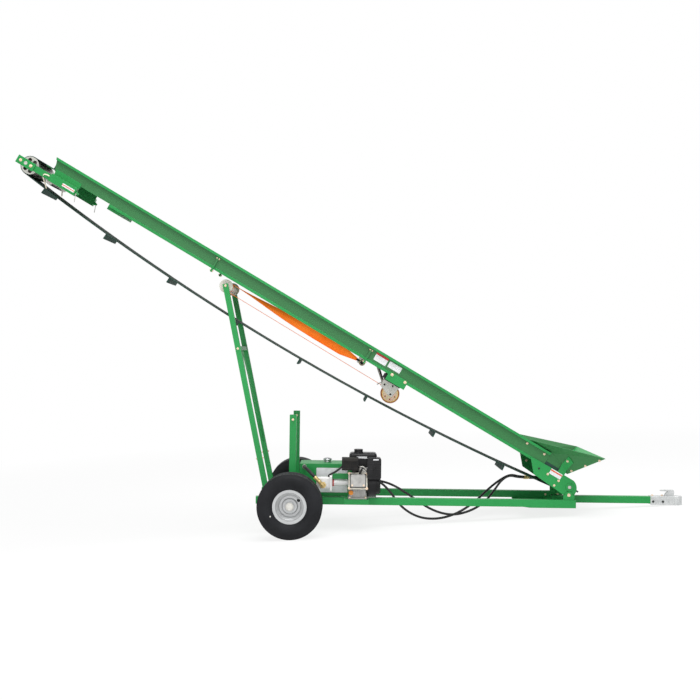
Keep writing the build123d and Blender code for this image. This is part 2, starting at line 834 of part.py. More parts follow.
# Oil tank and its filler cap
tank = block(tank_x0, tank_x1, tank_y0, tank_y1, rail_top, tank_top)
tank -= block(
    tank_x0 + tank_sheet, tank_x1 - tank_sheet, tank_y0 + tank_sheet, tank_y1 - tank_sheet,
    rail_top + tank_sheet, tank_top - tank_sheet,
)
filler_y = (tank_y0 + tank_y1) / 2
tank -= Pos(filler_x, filler_y, tank_top) * Cylinder(filler_dia / 2, 4 * tank_sheet)
nodes["oil_tank"] = tank
cap_place = Pos(filler_x, filler_y, tank_top)
cap = cap_place * Pos(0, 0, neck_high / 2) * Cylinder(filler_dia / 2 + neck_wall, neck_high)
cap += cap_place * Pos(0, 0, neck_high + cap_high / 2) * Cylinder(cap_dia / 2, cap_high)
nodes["tank_cap"] = cap

# Engine plate: a folded plate across the near rail, with the bridge that holds the pump in line
plate_top = rail_top + engine_plate_thick
crank_z = plate_top + crank_height
engine_plate = block(
    engine_plate_x0, engine_plate_x1, engine_plate_front, engine_plate_rear, rail_top, plate_top
)
engine_plate += block(
    engine_plate_x0, engine_plate_x1, engine_plate_front, engine_plate_front + engine_plate_thick,
    plate_top - engine_lip, plate_top,
)
bridge_low = crank_z + coupling_dia / 2 + bridge_gap
half_bridge = bridge_side / 2
bridge = block(
    pump_flange_x + seat_gap, case_x0 - cover_plate - seat_gap, crank_y - half_bridge, crank_y + half_bridge,
    bridge_low, bridge_low + bridge_side,
)
bridge = fillet(bridge.edges().filter_by(Axis.X), bridge_side / 5)
nodes["engine_plate"] = Compound([engine_plate, bridge])

# Engine: crankcase on feet, with a finned cylinder that leans to the near side
case_mid_x = (case_x0 + case_x1) / 2
case_y0 = crank_y - case_deep / 2
case_y1 = crank_y + case_deep / 2
case_low = plate_top + foot_thick
case = block(case_x0, case_x1, case_y0, case_y1, case_low, crank_z + case_rise)
case = fillet(case.edges().filter_by(Axis.Z), case_deep / 10)
case += block(
    case_x0 - foot_reach / 2, case_x1, case_y0 - foot_reach, case_y1 + foot_reach, plate_top, case_low
)
case += Pos(case_x0 - cover_plate / 2, crank_y, crank_z) * Rot(0, 90, 0) * Cylinder(
    case_deep / 2 - foot_reach, cover_plate
)
lean = radians(cylinder_lean)
bore_plane = Plane(
    origin=(case_mid_x, crank_y, crank_z), x_dir=(1, 0, 0), z_dir=(0, -cos(lean), sin(lean))
)
fins_end = fin_start + fin_count * fin_pitch
case += extrude(bore_plane * Circle(barrel_dia / 2), amount=fins_end)
for index in range(fin_count):
    fin_plane = bore_plane.offset(fin_start + index * fin_pitch)
    case += extrude(fin_plane * Rectangle(fin_wide, fin_high), amount=fin_thick)
case += extrude(
    bore_plane.offset(fins_end) * RectangleRounded(fin_wide, fin_high, cover_round), amount=head_thick
)
cover = extrude(
    bore_plane.offset(fins_end + head_thick) * RectangleRounded(cover_wide, cover_high, cover_round),
    amount=cover_deep,
)
cover = fillet(cover.faces().sort_by(Axis.Y)[0].edges(), cover_round / 2)
nodes["engine_block"] = case + cover

# Fan housing with its slotted starter cover, and the air cleaner in front of it
fan_x1 = case_x1 + seat_gap + fan_deep
fan_place = Rot(0, 90, 0)
fan = Pos(case_x1 + seat_gap + fan_deep / 2, crank_y, crank_z) * fan_place * Cylinder(fan_dia / 2, fan_deep)
recoil = Pos(fan_x1 + recoil_deep / 2, crank_y, crank_z) * fan_place * Cylinder(recoil_dia / 2, recoil_deep)
recoil = chamfer(recoil.edges().sort_by(Axis.X)[-1], recoil_deep / 3)
slot_ring = recoil_dia * 0.28
for index in range(recoil_slots):
    turn = 360 * index / recoil_slots
    slot = Pos(fan_x1 + recoil_deep, crank_y, crank_z) * Rot(turn, 0, 0) * Pos(0, 0, slot_ring)
    recoil -= slot * Box(recoil_deep / 2, recoil_dia / 20, recoil_dia / 4)
fuel_y1 = crank_y + case_deep / 2 + foot_reach
cleaner_y0 = fuel_y1 - fuel_deep - seat_gap - cleaner_deep
cleaner = block(
    case_x1 + seat_gap, case_x1 + seat_gap + cleaner_wide, cleaner_y0, cleaner_y0 + cleaner_deep,
    cleaner_top - cleaner_high, cleaner_top,
)
cleaner = fillet(cleaner.edges().filter_by(Axis.Y), muffler_round)
nodes["engine_shroud"] = fan + recoil + cleaner

# Fuel tank over the crankcase, with its neck and cap
fuel = block(case_x0, case_x0 + fuel_long, fuel_y1 - fuel_deep, fuel_y1, fuel_low, fuel_top)
fuel = fillet(fuel.edges().filter_by(Axis.Z) + fuel.faces().sort_by(Axis.Z)[-1].edges(), fuel_round)
fuel_leg = block(
    case_x0 + fuel_round, case_x1 - fuel_round, fuel_y1 - fuel_deep + fuel_round, fuel_y1 - fuel_round,
    crank_z + case_rise + seat_gap, fuel_low,
)
fuel_cap_x = case_x0 + fuel_long / 3
fuel_cap_place = Pos(fuel_cap_x, fuel_y1 - fuel_deep / 2, fuel_top)
fuel += fuel_cap_place * Pos(0, 0, fuel_neck_high / 2) * Cylinder(fuel_cap_dia / 2 - neck_wall, fuel_neck_high)
fuel += fuel_cap_place * Pos(0, 0, fuel_neck_high + fuel_cap_high / 2) * Cylinder(
    fuel_cap_dia / 2, fuel_cap_high
)
nodes["engine_tank"] = fuel + fuel_leg

# Muffler in front of the tank, on its elbow over the cylinder head
muffler_y1 = fuel_y1 - fuel_deep - seat_gap
muffler = block(
    muffler_x0, muffler_x0 + muffler_long, muffler_y1 - muffler_deep, muffler_y1, muffler_low, muffler_top
)
muffler = fillet(muffler.edges().filter_by(Axis.X), muffler_round)
elbow_y = crank_y - cos(lean) * (fins_end + head_thick / 2)
elbow_low = crank_z + sin(lean) * (fins_end + head_thick / 2) + fin_high / 2 * cos(lean) + foot_thick
muffler += Pos(case_mid_x - fin_wide / 4, elbow_y, (elbow_low + muffler_low) / 2) * Cylinder(
    elbow_dia / 2, muffler_low - elbow_low + elbow_lap
)
nodes["engine_muffler"] = muffler

# Gear pump on its flange, its coupling to the crankshaft, and the suction hose from the tank
flange_x0 = pump_flange_x - pump_flange_thick
half_flange = pump_flange_side / 2
half_pump = pump_side / 2
pump = block(
    flange_x0, pump_flange_x, crank_y - half_flange, crank_y + half_flange,
    crank_z - half_flange, crank_z + half_flange,
)
pump = fillet(pump.edges().filter_by(Axis.X), pump_round)
body = block(
    flange_x0 - pump_long, flange_x0, crank_y - half_pump, crank_y + half_pump,
    crank_z - half_pump, crank_z + half_pump,
)
pump += fillet(body.edges().filter_by(Axis.X), pump_round)
port_x = flange_x0 - pump_long / 2
port_y = crank_y - half_pump
pump += cross_bar(port_x, crank_z - pump_round, port_dia / 2, port_y - port_reach, port_y)
bridge_seat = block(
    flange_x0, pump_flange_x, crank_y - half_bridge, crank_y + half_bridge,
    crank_z, bridge_low + bridge_side,
)
pump += bridge_seat
coupling = Pos((pump_flange_x + case_x0 - cover_plate) / 2, crank_y, crank_z) * Rot(0, 90, 0) * Cylinder(
    coupling_dia / 2, case_x0 - cover_plate - pump_flange_x - 2 * seat_gap
)
elbow = Vector(port_x, port_y - port_reach - suction_dia / 2 - seat_gap, crank_z - pump_round)
suction_route = [
    elbow, elbow + Vector(-30, 0, 30), Vector(tank_x0 + 92, elbow.Y + 10, tank_top - 52),
    Vector(tank_x0 + 54, tank_y0 - 100, tank_top - 26), Vector(tank_x0 + 34, tank_y0 - 48, tank_top - 20),
    Vector(tank_x0 + 34, tank_y0 - seat_gap, tank_top - 20),
]
suction_bends = []
for before, here, after in zip(suction_route, suction_route[1:], suction_route[2:]):
    run_in, run_out = here - before, after - here
    turn = radians(run_in.get_angle(run_out))
    suction_bends.append(0.45 * min(run_in.length, run_out.length) / tan(turn / 2))
suction_path = FilletPolyline(*suction_route, radius=suction_bends)
suction_start = Plane(origin=elbow, z_dir=(suction_route[1] - elbow).normalized())
suction = sweep(suction_start * Circle(suction_dia / 2), path=suction_path)
print("suction length", round(suction_path.length), "radii", [round(bend) for bend in suction_bends])
nodes["pump"] = Compound([pump, coupling, suction])

# Winch under the boom: a folded bracket across the walls, and the zinc winch hung from it
half_winch = winch_plate_gap / 2
frame_top = winch_bracket_n - seat_gap
ear_y0 = wall_outer_y + wall_sheet + seat_gap
ear_y1 = ear_y0 + winch_sheet
winch_mount = boom_box(
    winch_bracket_u0, winch_bracket_u1, winch_bracket_n, winch_bracket_n + winch_sheet, -ear_y1, ear_y1
)
for side in (-1, 1):
    ear_y = sorted((side * ear_y0, side * ear_y1))
    winch_mount += boom_box(
        winch_bracket_u0, winch_bracket_u1, winch_bracket_n, winch_bracket_ear, *ear_y
    )
nodes["winch_mount"] = winch_mount
winch = boom_round(winch_u, winch_n, winch_shaft_dia, -half_winch, half_winch)
for side in (-1, 1):
    y0, y1 = sorted((side * half_winch, side * (half_winch - winch_rim)))
    gear = boom_round(winch_u, winch_n, winch_gear_dia / 2, y0, y1)
    for index in range(winch_holes):
        turn = 2 * pi * index / winch_holes
        gear -= boom_round(
            winch_u + winch_hole_ring / 2 * cos(turn), winch_n + winch_hole_ring / 2 * sin(turn),
            winch_hole_dia / 2, y0 - cut_over, y1 + cut_over,
        )
    winch += gear
winch_parts = [winch]
winch_frame = [(winch_u - frame_rear, frame_top), (winch_u + frame_front, frame_top)]
winch_frame += [(winch_u + u, winch_n + n) for u, n in frame_foot]
for side in (-1, 1):
    y0, y1 = sorted((side * (half_winch + seat_gap), side * (half_winch + seat_gap + winch_sheet)))
    winch_parts.append(boom_slab(winch_frame, y0, y1))
nodes["winch_drum"] = Compound(winch_parts)

pinion = Vector(winch_u + pinion_lead, winch_n + pinion_rise)
crank_y0 = flange_y + crank_clear
crank_y1 = crank_y0 + crank_thick
crank_start = half_winch + winch_sheet + 2 * seat_gap
crank = boom_round(pinion.X, pinion.Y, pinion_dia / 2, crank_start, crank_y1)
turn = radians(crank_turn)
crank_dir = Vector(cos(turn), sin(turn))
arm_side = Vector(-sin(turn), cos(turn)) * crank_wide / 2
arm_root = pinion - crank_dir * crank_tail
arm_tip = pinion + crank_dir * crank_long
crank_outline = [arm_root + arm_side, arm_root - arm_side, arm_tip - arm_side, arm_tip + arm_side]
crank += boom_slab([(spot.X, spot.Y) for spot in crank_outline], crank_y0, crank_y1)
grip = arm_tip - crank_dir * crank_tail
crank += boom_round(grip.X, grip.Y, grip_dia / 2, crank_y1, crank_y1 + grip_long)
nodes["winch_crank"] = crank

# Strap: out from the winch, round the roller and back to the eye under the lower splice
wrap_in = roller_drum_dia / 2 + seat_gap
wrap_out = wrap_in + strap_thick
half_strap = strap_wide / 2
eye_u = section_ends[1]
eye_end = eye_u + eye_long
lower_n = winch_n + winch_shaft_dia
strap_plane = boom_plane.offset(-half_strap)
wrap = Pos(roller_u, roller_n) * (Circle(wrap_out) - Circle(wrap_in))
wrap -= Pos(roller_u - wrap_out, roller_n) * Rectangle(2 * wrap_out, 4 * wrap_out)
lower_run = make_face(Polyline(
    (winch_u, lower_n + seat_gap), (roller_u, roller_n - wrap_out),
    (roller_u, roller_n - wrap_in), (winch_u, lower_n + seat_gap + strap_thick), close=True,
))
upper_run = make_face(Polyline(
    (eye_end, roller_n + wrap_in), (roller_u, roller_n + wrap_in),
    (roller_u, roller_n + wrap_out), (eye_end, roller_n + wrap_out), close=True,
))
strap_face = wrap + lower_run + upper_run
nodes["lift_strap"] = extrude(strap_plane * strap_face, amount=strap_wide, dir=(0, 1, 0))
hook_bar = boom_box(
    eye_u - crossbar_side / 2, eye_u + crossbar_side / 2, wall_bottom, wall_bottom + bed_sheet,
    -inner_y, inner_y,
)
hook_bar += boom_box(
    eye_u - eye_back, eye_end, roller_n + wrap_in - eye_drop, wall_bottom, -eye_thick / 2, eye_thick / 2
)
nodes["hook_bar"] = hook_bar

# Drive motor outside the far tail plate, with its two hose ends
motor_y0 = plate_outer_y
drum_place = boom_point(tail_u, tail_n)
motor_y1 = motor_y0 + motor_neck
motor = boom_round(tail_u, tail_n, motor_neck_dia / 2, motor_y0, motor_y1)
motor += boom_round(tail_u, tail_n, motor_dia / 2, motor_y1, motor_y1 + motor_long)
for end_y, end_z in hose_ends:
    motor += Pos((hose_end_x + drum_place.X) / 2, end_y, end_z) * Rot(0, 90, 0) * Cylinder(
        fitting_dia / 2, drum_place.X - hose_end_x
    )
nodes["drive_motor"] = motor

# Hoses from the tank to the motor, hanging between the rails
hose_start_x = tank_x1 + port_long + seat_gap
for port_y, port_z in ports:
    nodes["oil_tank"] += Pos(tank_x1 + port_long / 2, port_y, port_z) * Rot(0, 90, 0) * Cylinder(
        fitting_dia / 2, port_long
    )
hose_routes = {
    "hose_long": [
        (hose_start_x, -120, 150), (590, -120, 150), (690, -165, 80), (775, -190, -45),
        (905, -198, -124), (1050, -196, -134), (1190, -180, -94), (1330, -90, -18), (1440, 60, 55),
        (1540, 165, 112), (1636, 262, 146), (1716, 300, 122), (hose_end_x - seat_gap, 300, 122),
    ],
    "hose_short": [
        (hose_start_x, -60, 130), (600, -60, 130), (722, -138, 108), (850, -162, 30),
        (1000, -166, -72), (1150, -162, -112), (1290, -132, -82), (1405, -40, -30), (1490, 100, 38),
        (1560, 235, 98), (1635, 318, 132), (1714, 340, 112), (hose_end_x - seat_gap, 340, 112),
    ],
}
for name, route in hose_routes.items():
    spots = [Vector(spot) for spot in route]
    bends = []
    for before, here, after in zip(spots, spots[1:], spots[2:]):
        run_in, run_out = here - before, after - here
        turn = radians(run_in.get_angle(run_out))
        bends.append(0.45 * min(run_in.length, run_out.length) / tan(turn / 2))
    path = FilletPolyline(*spots, radius=bends)
    section = Plane(origin=spots[0], z_dir=(spots[1] - spots[0]).normalized()) * Circle(hose_dia / 2)
    hose = sweep(section, path=path)
    print(name, "length", round(path.length), "radii", [round(bend) for bend in bends])
    nodes[name] = hose

# Set the machine down as it parks, centred over the floor's origin
settle = Pos(0, 0, axle_height) * Rot(0, park_angle, 0)
boxes = [(settle * shape).bounding_box() for shape in nodes.values()]
middle_x = (min(box.min.X for box in boxes) + max(box.max.X for box in boxes)) / 2
floor_z = min(box.min.Z for box in boxes)
park = Pos(-middle_x, 0, -floor_z) * settle
os.makedirs("parts", exist_ok=True)
for name, shape in nodes.items():
    placed = park * shape
    placed.label = name
    export_step(placed, f"parts/{name}.step")
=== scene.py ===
import bpy
import bmesh
import json
from math import atan2, cos, pi, radians, sin
from mathutils import Matrix, Vector


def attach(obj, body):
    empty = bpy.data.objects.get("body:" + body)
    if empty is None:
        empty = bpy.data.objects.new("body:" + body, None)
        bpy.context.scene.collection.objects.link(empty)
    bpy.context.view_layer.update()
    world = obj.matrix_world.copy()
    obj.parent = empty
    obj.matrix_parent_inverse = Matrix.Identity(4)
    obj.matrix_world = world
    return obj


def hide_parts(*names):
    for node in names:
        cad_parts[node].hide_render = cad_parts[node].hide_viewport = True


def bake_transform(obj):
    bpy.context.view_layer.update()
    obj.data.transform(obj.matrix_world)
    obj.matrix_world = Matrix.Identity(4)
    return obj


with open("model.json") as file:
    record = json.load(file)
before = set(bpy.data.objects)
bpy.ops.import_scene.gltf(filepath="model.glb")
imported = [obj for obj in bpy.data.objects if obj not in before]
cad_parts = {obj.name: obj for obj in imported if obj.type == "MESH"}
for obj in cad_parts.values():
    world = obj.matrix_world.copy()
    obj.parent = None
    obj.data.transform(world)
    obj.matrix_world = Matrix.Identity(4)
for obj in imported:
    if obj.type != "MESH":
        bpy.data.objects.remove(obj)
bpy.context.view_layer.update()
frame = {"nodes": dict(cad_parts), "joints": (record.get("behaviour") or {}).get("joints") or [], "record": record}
node = frame["nodes"]
joint_spot = {joint["name"]: Vector(joint["pos_m"]) for joint in frame["joints"]}


# The tow frame is two painted square rails, a cross axle and a drawbar, welded up and powder
# coated green. It stands nose down on its tyres and coupler, so its own axes lean with the rails.
# The coat has a faint orange peel, is dusty in patches and is rubbed paler along its edges.
MM = 0.001
socket_axis = Vector(frame["record"]["mounts"][0]["axis"])
nose_dip = atan2(-socket_axis.x, -socket_axis.z)
axle_spot = joint_spot["wheel_near_spin"].copy()
axle_spot.y = 0
parked = Matrix.Translation(axle_spot) @ Matrix.Rotation(nose_dip, 4, "Y")


def on_frame(x, y, z):
    """A place given in the rails' own axes, in millimetres from the axle's middle."""
    return parked @ (Vector((x, y, z)) * MM)


class Wire:
    """A socket in a finish's node tree: sums on it add Math nodes, and node() adds any other."""

    def __init__(self, socket):
        self.socket = socket
        self.tree = socket.id_data

    def node(self, kind, settings=(), inputs=(), output=0):
        made = self.tree.nodes.new(kind)
        for name, value in dict(settings).items():
            setattr(made, name, value)
        for name, value in dict(inputs).items():
            if isinstance(value, Wire):
                self.tree.links.new(value.socket, made.inputs[name])
            else:
                made.inputs[name].default_value = value
        return Wire(made.outputs[output])

    def sum(self, operation, first, second=0.0):
        return self.node("ShaderNodeMath", {"operation": operation}, {0: first, 1: second})

    def __add__(self, other):
        return self.sum("ADD", self, other)

    def __sub__(self, other):
        return self.sum("SUBTRACT", self, other)

    def __rsub__(self, other):
        return self.sum("SUBTRACT", other, self)

    def __mul__(self, other):
        return self.sum("MULTIPLY", self, other)

    __radd__, __rmul__ = __add__, __mul__

    def sine(self):
        return self.sum("SINE", self)

    def dot(self, way):
        return self.node("ShaderNodeVectorMath", {"operation": "DOT_PRODUCT"}, {0: self, 1: way}, "Value")

    def length(self):
        return self.node("ShaderNodeVectorMath", {"operation": "LENGTH"}, {0: self}, "Value")

    def noise(self, scale, detail=3.0):
        return self.node("ShaderNodeTexNoise", {}, {"Vector": self, "Scale": scale, "Detail": detail})

    def step(self, low, high):
        """0 below the low value, 1 above the high one."""
        limits = {"Value": self, "From Min": low, "From Max": high}
        return self.node("ShaderNodeMapRange", {"clamp": True}, limits)

    def tint(self, first, second):
        """The first colour where this is 0, the second where it is 1."""
        return self.node("ShaderNodeMix", {"data_type": "RGBA"}, {0: self, 6: first, 7: second}, 2)

    def bump(self, depth, distance, base=None):
        heights = {"Height": self, "Strength": depth, "Distance": distance}
        if base:
            heights["Normal"] = base
        return self.node("ShaderNodeBump", {}, heights)

    def soft_edge(self, radius):
        """The surface's normal with its corners rounded over by a small radius."""
        return self.node("ShaderNodeBevel", {"samples": 6}, {"Radius": radius})

    def edge(self, soft):
        """1 on a corner and 0 on a flat, from the rounded normal."""
        flat = self.node("ShaderNodeNewGeometry", (), (), "Normal")
        return (1 - soft.dot(flat)).step(0.01, 0.22)

    def seen(self, *rays):
        """1 for the camera's own rays and for the other kinds of ray that are named."""
        first = self.node("ShaderNodeLightPath", (), (), "Is Camera Ray")
        for ray in rays:
            first = first + self.node("ShaderNodeLightPath", (), (), ray)
        return first


def new_finish(name, metallic=0.0, specular=0.5):
    """A material, the object coordinates in it and its shader."""
    made = bpy.data.materials.new(name)
    made.use_nodes = True
    shader = made.node_tree.nodes["Principled BSDF"]
    shader.inputs["Metallic"].default_value = metallic
    shader.inputs["Specular IOR Level"].default_value = specular
    place = Wire(made.node_tree.nodes.new("ShaderNodeTexCoord").outputs["Object"])
    return made, place, shader


def feed(shader, **wires):
    for name, wire in wires.items():
        shader.id_data.links.new(wire.socket, shader.inputs[name.replace("_", " ")])


def coat(finish, *names):
    for name in names:
        node[name].material_slots[0].material = finish


def green_paint(name, shaded_web=None):
    """The powder coat. A shaded web is the (way, start, low, high) of a recessed band darkened with painted shade.
    """
    made, place, shader = new_finish(name, specular=0.3)
    clouds = place.noise(2.3, 4)
    peel = place.noise(420, 2)
    dust = place.noise(17, 8).step(0.56, 0.78)
    soft = place.soft_edge(0.003)
    rubbed = place.edge(soft) * place.noise(38, 5).step(0.34, 0.62)
    tone = clouds.step(0.3, 0.7).tint((0.013, 0.262, 0.056, 1), (0.020, 0.310, 0.074, 1))
    if shaded_web:
        way, start, low, high = shaded_web
        fade = 0.006
        # The band is tinted a darker, greyer green: painted shade, standing in for the shade in the recess.
        level = place.dot(way) - start
        film = (level.step(low, low + fade) - level.step(high - fade, high)) * (0.75 + clouds * 0.5)
        tone = film.tint(tone, (0.036, 0.180, 0.056, 1))
    dusty = (dust * 0.14).tint(tone, (0.08, 0.34, 0.14, 1))
    feed(
        shader,
        Base_Color=(rubbed * 0.45).tint(dusty, (0.13, 0.50, 0.23, 1)),
        Roughness=0.38 + dust * 0.16 + clouds * 0.08,
        Normal=peel.bump(0.10, 0.0008, soft),
    )
    return made


green_coat = green_paint("green_powder_coat")
coat(
    green_coat, "rails", "axle", "front_plate", "drawbar", "rest_posts", "leg_lugs", "boom_lugs", "oil_tank",
    "engine_plate", "bed", "take_ups", "tail_plates", "hopper_end", "winch_mount", "leg_near", "leg_far",
    "leg_bars",
)


# The coupler, pulleys and winch are zinc-plated pressings and turned steel, a dull silver with
# the faint cloudy spangle that plating leaves and brighter corners. The coupler is plated brighter.
zinc_plate, place, shader = new_finish("zinc_plate", metallic=0.75)
spangle = place.node("ShaderNodeTexVoronoi", {}, {"Vector": place, "Scale": 120.0}, "Color")
grey = spangle.node("ShaderNodeSeparateColor", {}, {"Color": spangle})
smear = place.noise(30, 5)
soft = place.soft_edge(0.0015)
worn = (grey * 0.4 + smear * 0.6).tint((0.40, 0.39, 0.36, 1), (0.66, 0.65, 0.61, 1))
feed(
    shader,
    Base_Color=(place.edge(soft) * 0.6).tint(worn, (0.80, 0.79, 0.76, 1)),
    Roughness=0.34 + smear * 0.25,
    Normal=smear.bump(0.12, 0.001, soft),
)


def mottled(name, grain, ramp, tones, rough, bump=None, rounding=None, metallic=0.0, specular=0.5):
    """A finish that one noise of (scale, detail) varies: from one tone to another over a ramp, a
    roughness as (base, spread), and a bump as (depth, distance) on corners rounded in metres."""
    made, place, shader = new_finish(name, metallic, specular)
    cloud = place.noise(*grain)
    clean, soiled = tones
    feed(
        shader,
        Base_Color=cloud.step(*ramp).tint((*clean, 1), (*soiled, 1)),
        Roughness=rough[0] + cloud * rough[1],
    )
    if bump:
        feed(shader, Normal=cloud.bump(*bump, place.soft_edge(rounding) if rounding else None))
    return made


bright_zinc = mottled(
    "bright_zinc", grain=(46, 5), ramp=(0.3, 0.75), tones=((0.62, 0.635, 0.635), (0.46, 0.475, 0.475)),
    rough=(0.30, 0.2), bump=(0.10, 0.0008), rounding=0.002, metallic=0.35,
)
coat(bright_zinc, "coupler_body", "coupler_latch")
coat(zinc_plate, "head_pulley", "tail_drum", "snub_roller", "winch_drum", "winch_crank", "hook_bar")


# The coupler is held to the drawbar by bolts down through it and across it. The machine's bolts are
# hexagon heads on washers, most of them plated a pale yellow cream and some of them blacked.
bolt_plate = mottled(
    "bolt_plate", grain=(210, 3), ramp=(0.35, 0.7), tones=((0.78, 0.56, 0.40), (0.86, 0.74, 0.58)),
    rough=(0.36, 0.2), bump=(0.08, 0.0004), rounding=0.0006, metallic=0.35,
)
bolt_black = mottled(
    "bolt_black", grain=(160, 3), ramp=(0.35, 0.7), tones=((0.018, 0.022, 0.020), (0.05, 0.055, 0.05)),
    rough=(0.35, 0.2), metallic=0.3,
)
NEAR = Vector((0, -1, 0))
FAR = Vector((0, 1, 0))
UP = parked.to_3x3() @ Vector((0, 0, 1))
ALONG = parked.to_3x3() @ Vector((1, 0, 0))


def standing(spot, axis):
    """Axes at a spot with their Z along the given way."""
    return Matrix.Translation(spot) @ axis.to_track_quat("Z", "Y").to_matrix().to_4x4()


def add_round(shape, stand, radius, low, high, sides=24, top=None):
    """A drum or prism about a stand's Z axis, between two heights in millimetres."""
    bmesh.ops.create_cone(
        shape, cap_ends=True, segments=sides, radius1=radius * MM, depth=(high - low) * MM,
        radius2=(radius if top is None else top) * MM,
        matrix=stand @ Matrix.Translation((0, 0, (low + high) / 2 * MM)),
    )


def piece(name, shape, finishes, body):
    """The object of a finished bmesh, riding on a body."""
    mesh = bpy.data.meshes.new(name)
    shape.to_mesh(mesh)
    shape.free()
    for finish in finishes if isinstance(finishes, list) else [finishes]:
        mesh.materials.append(finish)
    made = bpy.data.objects.new(name, mesh)
    bpy.context.collection.objects.link(made)
    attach(made, body)
    return made


def bolts(name, spots, body, across=11, finish=bolt_plate):
    """Hexagon heads with a washer and a thread's end, one at each (place, way it faces)."""
    washer_top, head_top, thread_top = across * 0.14, across * 0.62, across * 0.80
    shape = bmesh.new()
    for spot, axis in spots:
        stand = standing(spot, axis)
        add_round(shape, stand, across * 0.82, -1, washer_top, 18)
        add_round(shape, stand, across * 0.58, washer_top, head_top, 6)
        add_round(shape, stand, across * 0.30, head_top, thread_top, 12, across * 0.24)
    bmesh.ops.bevel(
        shape, geom=shape.edges[:], offset=across * 0.045 * MM, affect="EDGES", segments=1, profile=0.5,
        material=-1,
    )
    return piece(name, shape, finish, body)


coupler_top, coupler_bottom, coupler_half = 30, -34, 31
nut_seat, cross_z = coupler_bottom + 7, -10
coupler_spots, cross_spots = [], []
for x in (2648, 2720):
    coupler_spots += [(on_frame(x, 0, coupler_top), UP), (on_frame(x, 0, nut_seat), -UP)]
    cross_spots += [(on_frame(x, facing.y * coupler_half, cross_z), facing) for facing in (NEAR, FAR)]
bolts("coupler_bolts", coupler_spots, "chassis", 12)
bolts("coupler_cross_bolts", cross_spots, "chassis", 11, bolt_black)
half_gauge, rail_inner = 250, 224.6
rail_spots = [
    (on_frame(x, -facing.y * rail_inner, 0), facing) for x in (1898, 1990) for facing in (NEAR, FAR)
]
bolts("rail_bolts", rail_spots, "chassis")
post_pin_z, post_pin_half = 579, 43
post_spots = [
    (on_frame(0, side * half_gauge + facing.y * post_pin_half, post_pin_z), facing)
    for side in (-1, 1) for facing in (NEAR, FAR)
]
bolts("post_bolts", post_spots, "chassis")


# The wheels are wide implement tyres on silver painted pressed rims. The rubber is matt, with
# ribs moulded round its side walls and cuts across its tread, and greyed a little by handling.
tyre_rubber, place, shader = new_finish("tyre_rubber", specular=0.17)
bloom = place.noise(9, 6)
pores = place.noise(600, 2)
from_axle = place.node("ShaderNodeMapping", (), {"Vector": place, "Location": tuple(-axle_spot)})
flat = from_axle.node("ShaderNodeVectorMath", {"operation": "MULTIPLY"}, {0: from_axle, 1: (1, 0, 1)})
reach = flat.length()
across = from_axle.node("ShaderNodeSeparateXYZ", (), {"Vector": from_axle})
height = from_axle.node("ShaderNodeSeparateXYZ", (), {"Vector": from_axle}, 2)
turn = across.sum("ARCTAN2", height, across)
side_ribs = (reach * 620).sine() * (reach.step(0.128, 0.136) - reach.step(0.196, 0.204))
cuts = (turn * 64).sine().step(0.55, 0.8) * reach.step(0.219, 0.222)
feed(
    shader,
    Base_Color=bloom.step(0.3, 0.75).tint((0.008, 0.0085, 0.010, 1), (0.018, 0.019, 0.022, 1)),
    Roughness=0.50 + bloom * 0.2,
    Normal=(side_ribs * 0.5 - cuts * 2 + pores * 0.2).bump(0.45, 0.0012, place.soft_edge(0.004)),
)
coat(tyre_rubber, "tyre_near", "tyre_far")


# Each rim is pressed steel in silver paint, dished in steps from its flange to the disc, with a
# rubber valve through the disc and a cream grease cap pushed into the hub. A bright balance mark
# is set in the tyre's side wall.
rim_silver, place, shader = new_finish("rim_silver", metallic=0.35)
flake = place.noise(900, 2)
shade = place.noise(14, 4)
feed(
    shader,
    Base_Color=(flake * 0.4 + shade * 0.6).tint((0.40, 0.41, 0.415, 1), (0.60, 0.61, 0.615, 1)),
    Roughness=0.28 + shade * 0.15,
    Normal=flake.bump(0.05, 0.0004, place.soft_edge(0.002)),
)
coat(rim_silver, "rim_near", "rim_far")
cap_cream = mottled(
    "cap_cream", grain=(60, 4), ramp=(0.3, 0.8), tones=((0.74, 0.73, 0.69), (0.64, 0.62, 0.56)),
    rough=(0.38, 0.2),
)


def spun(shape, outline, stand, steps=40):
    """A turned form: an outline of (radius, height) in millimetres, spun about a stand's Z axis."""
    line = [shape.verts.new(stand @ Vector((radius * MM, 0, height * MM))) for radius, height in outline]
    edges = [shape.edges.new(pair) for pair in zip(line, line[1:])]
    bmesh.ops.spin(
        shape, geom=line + edges, cent=stand.translation, axis=stand.col[2].to_3d(), angle=2 * pi,
        steps=steps, use_merge=True,
    )
    bmesh.ops.remove_doubles(shape, verts=shape.verts[:], dist=0.00001)
    bmesh.ops.recalc_face_normals(shape, faces=shape.faces[:])


def smooth(made, angle=35):
    """Shades a piece smooth, apart from its corners."""
    made.data.shade_smooth()
    made.data.set_sharp_from_angle(angle=radians(angle))


def turned(name, outline, stand, finish, body, steps=40, angle=35):
    """A piece that is one turned form, shaded smooth."""
    shape = bmesh.new()
    spun(shape, outline, stand, steps)
    made = piece(name, shape, finish, body)
    smooth(made, angle)
    return made


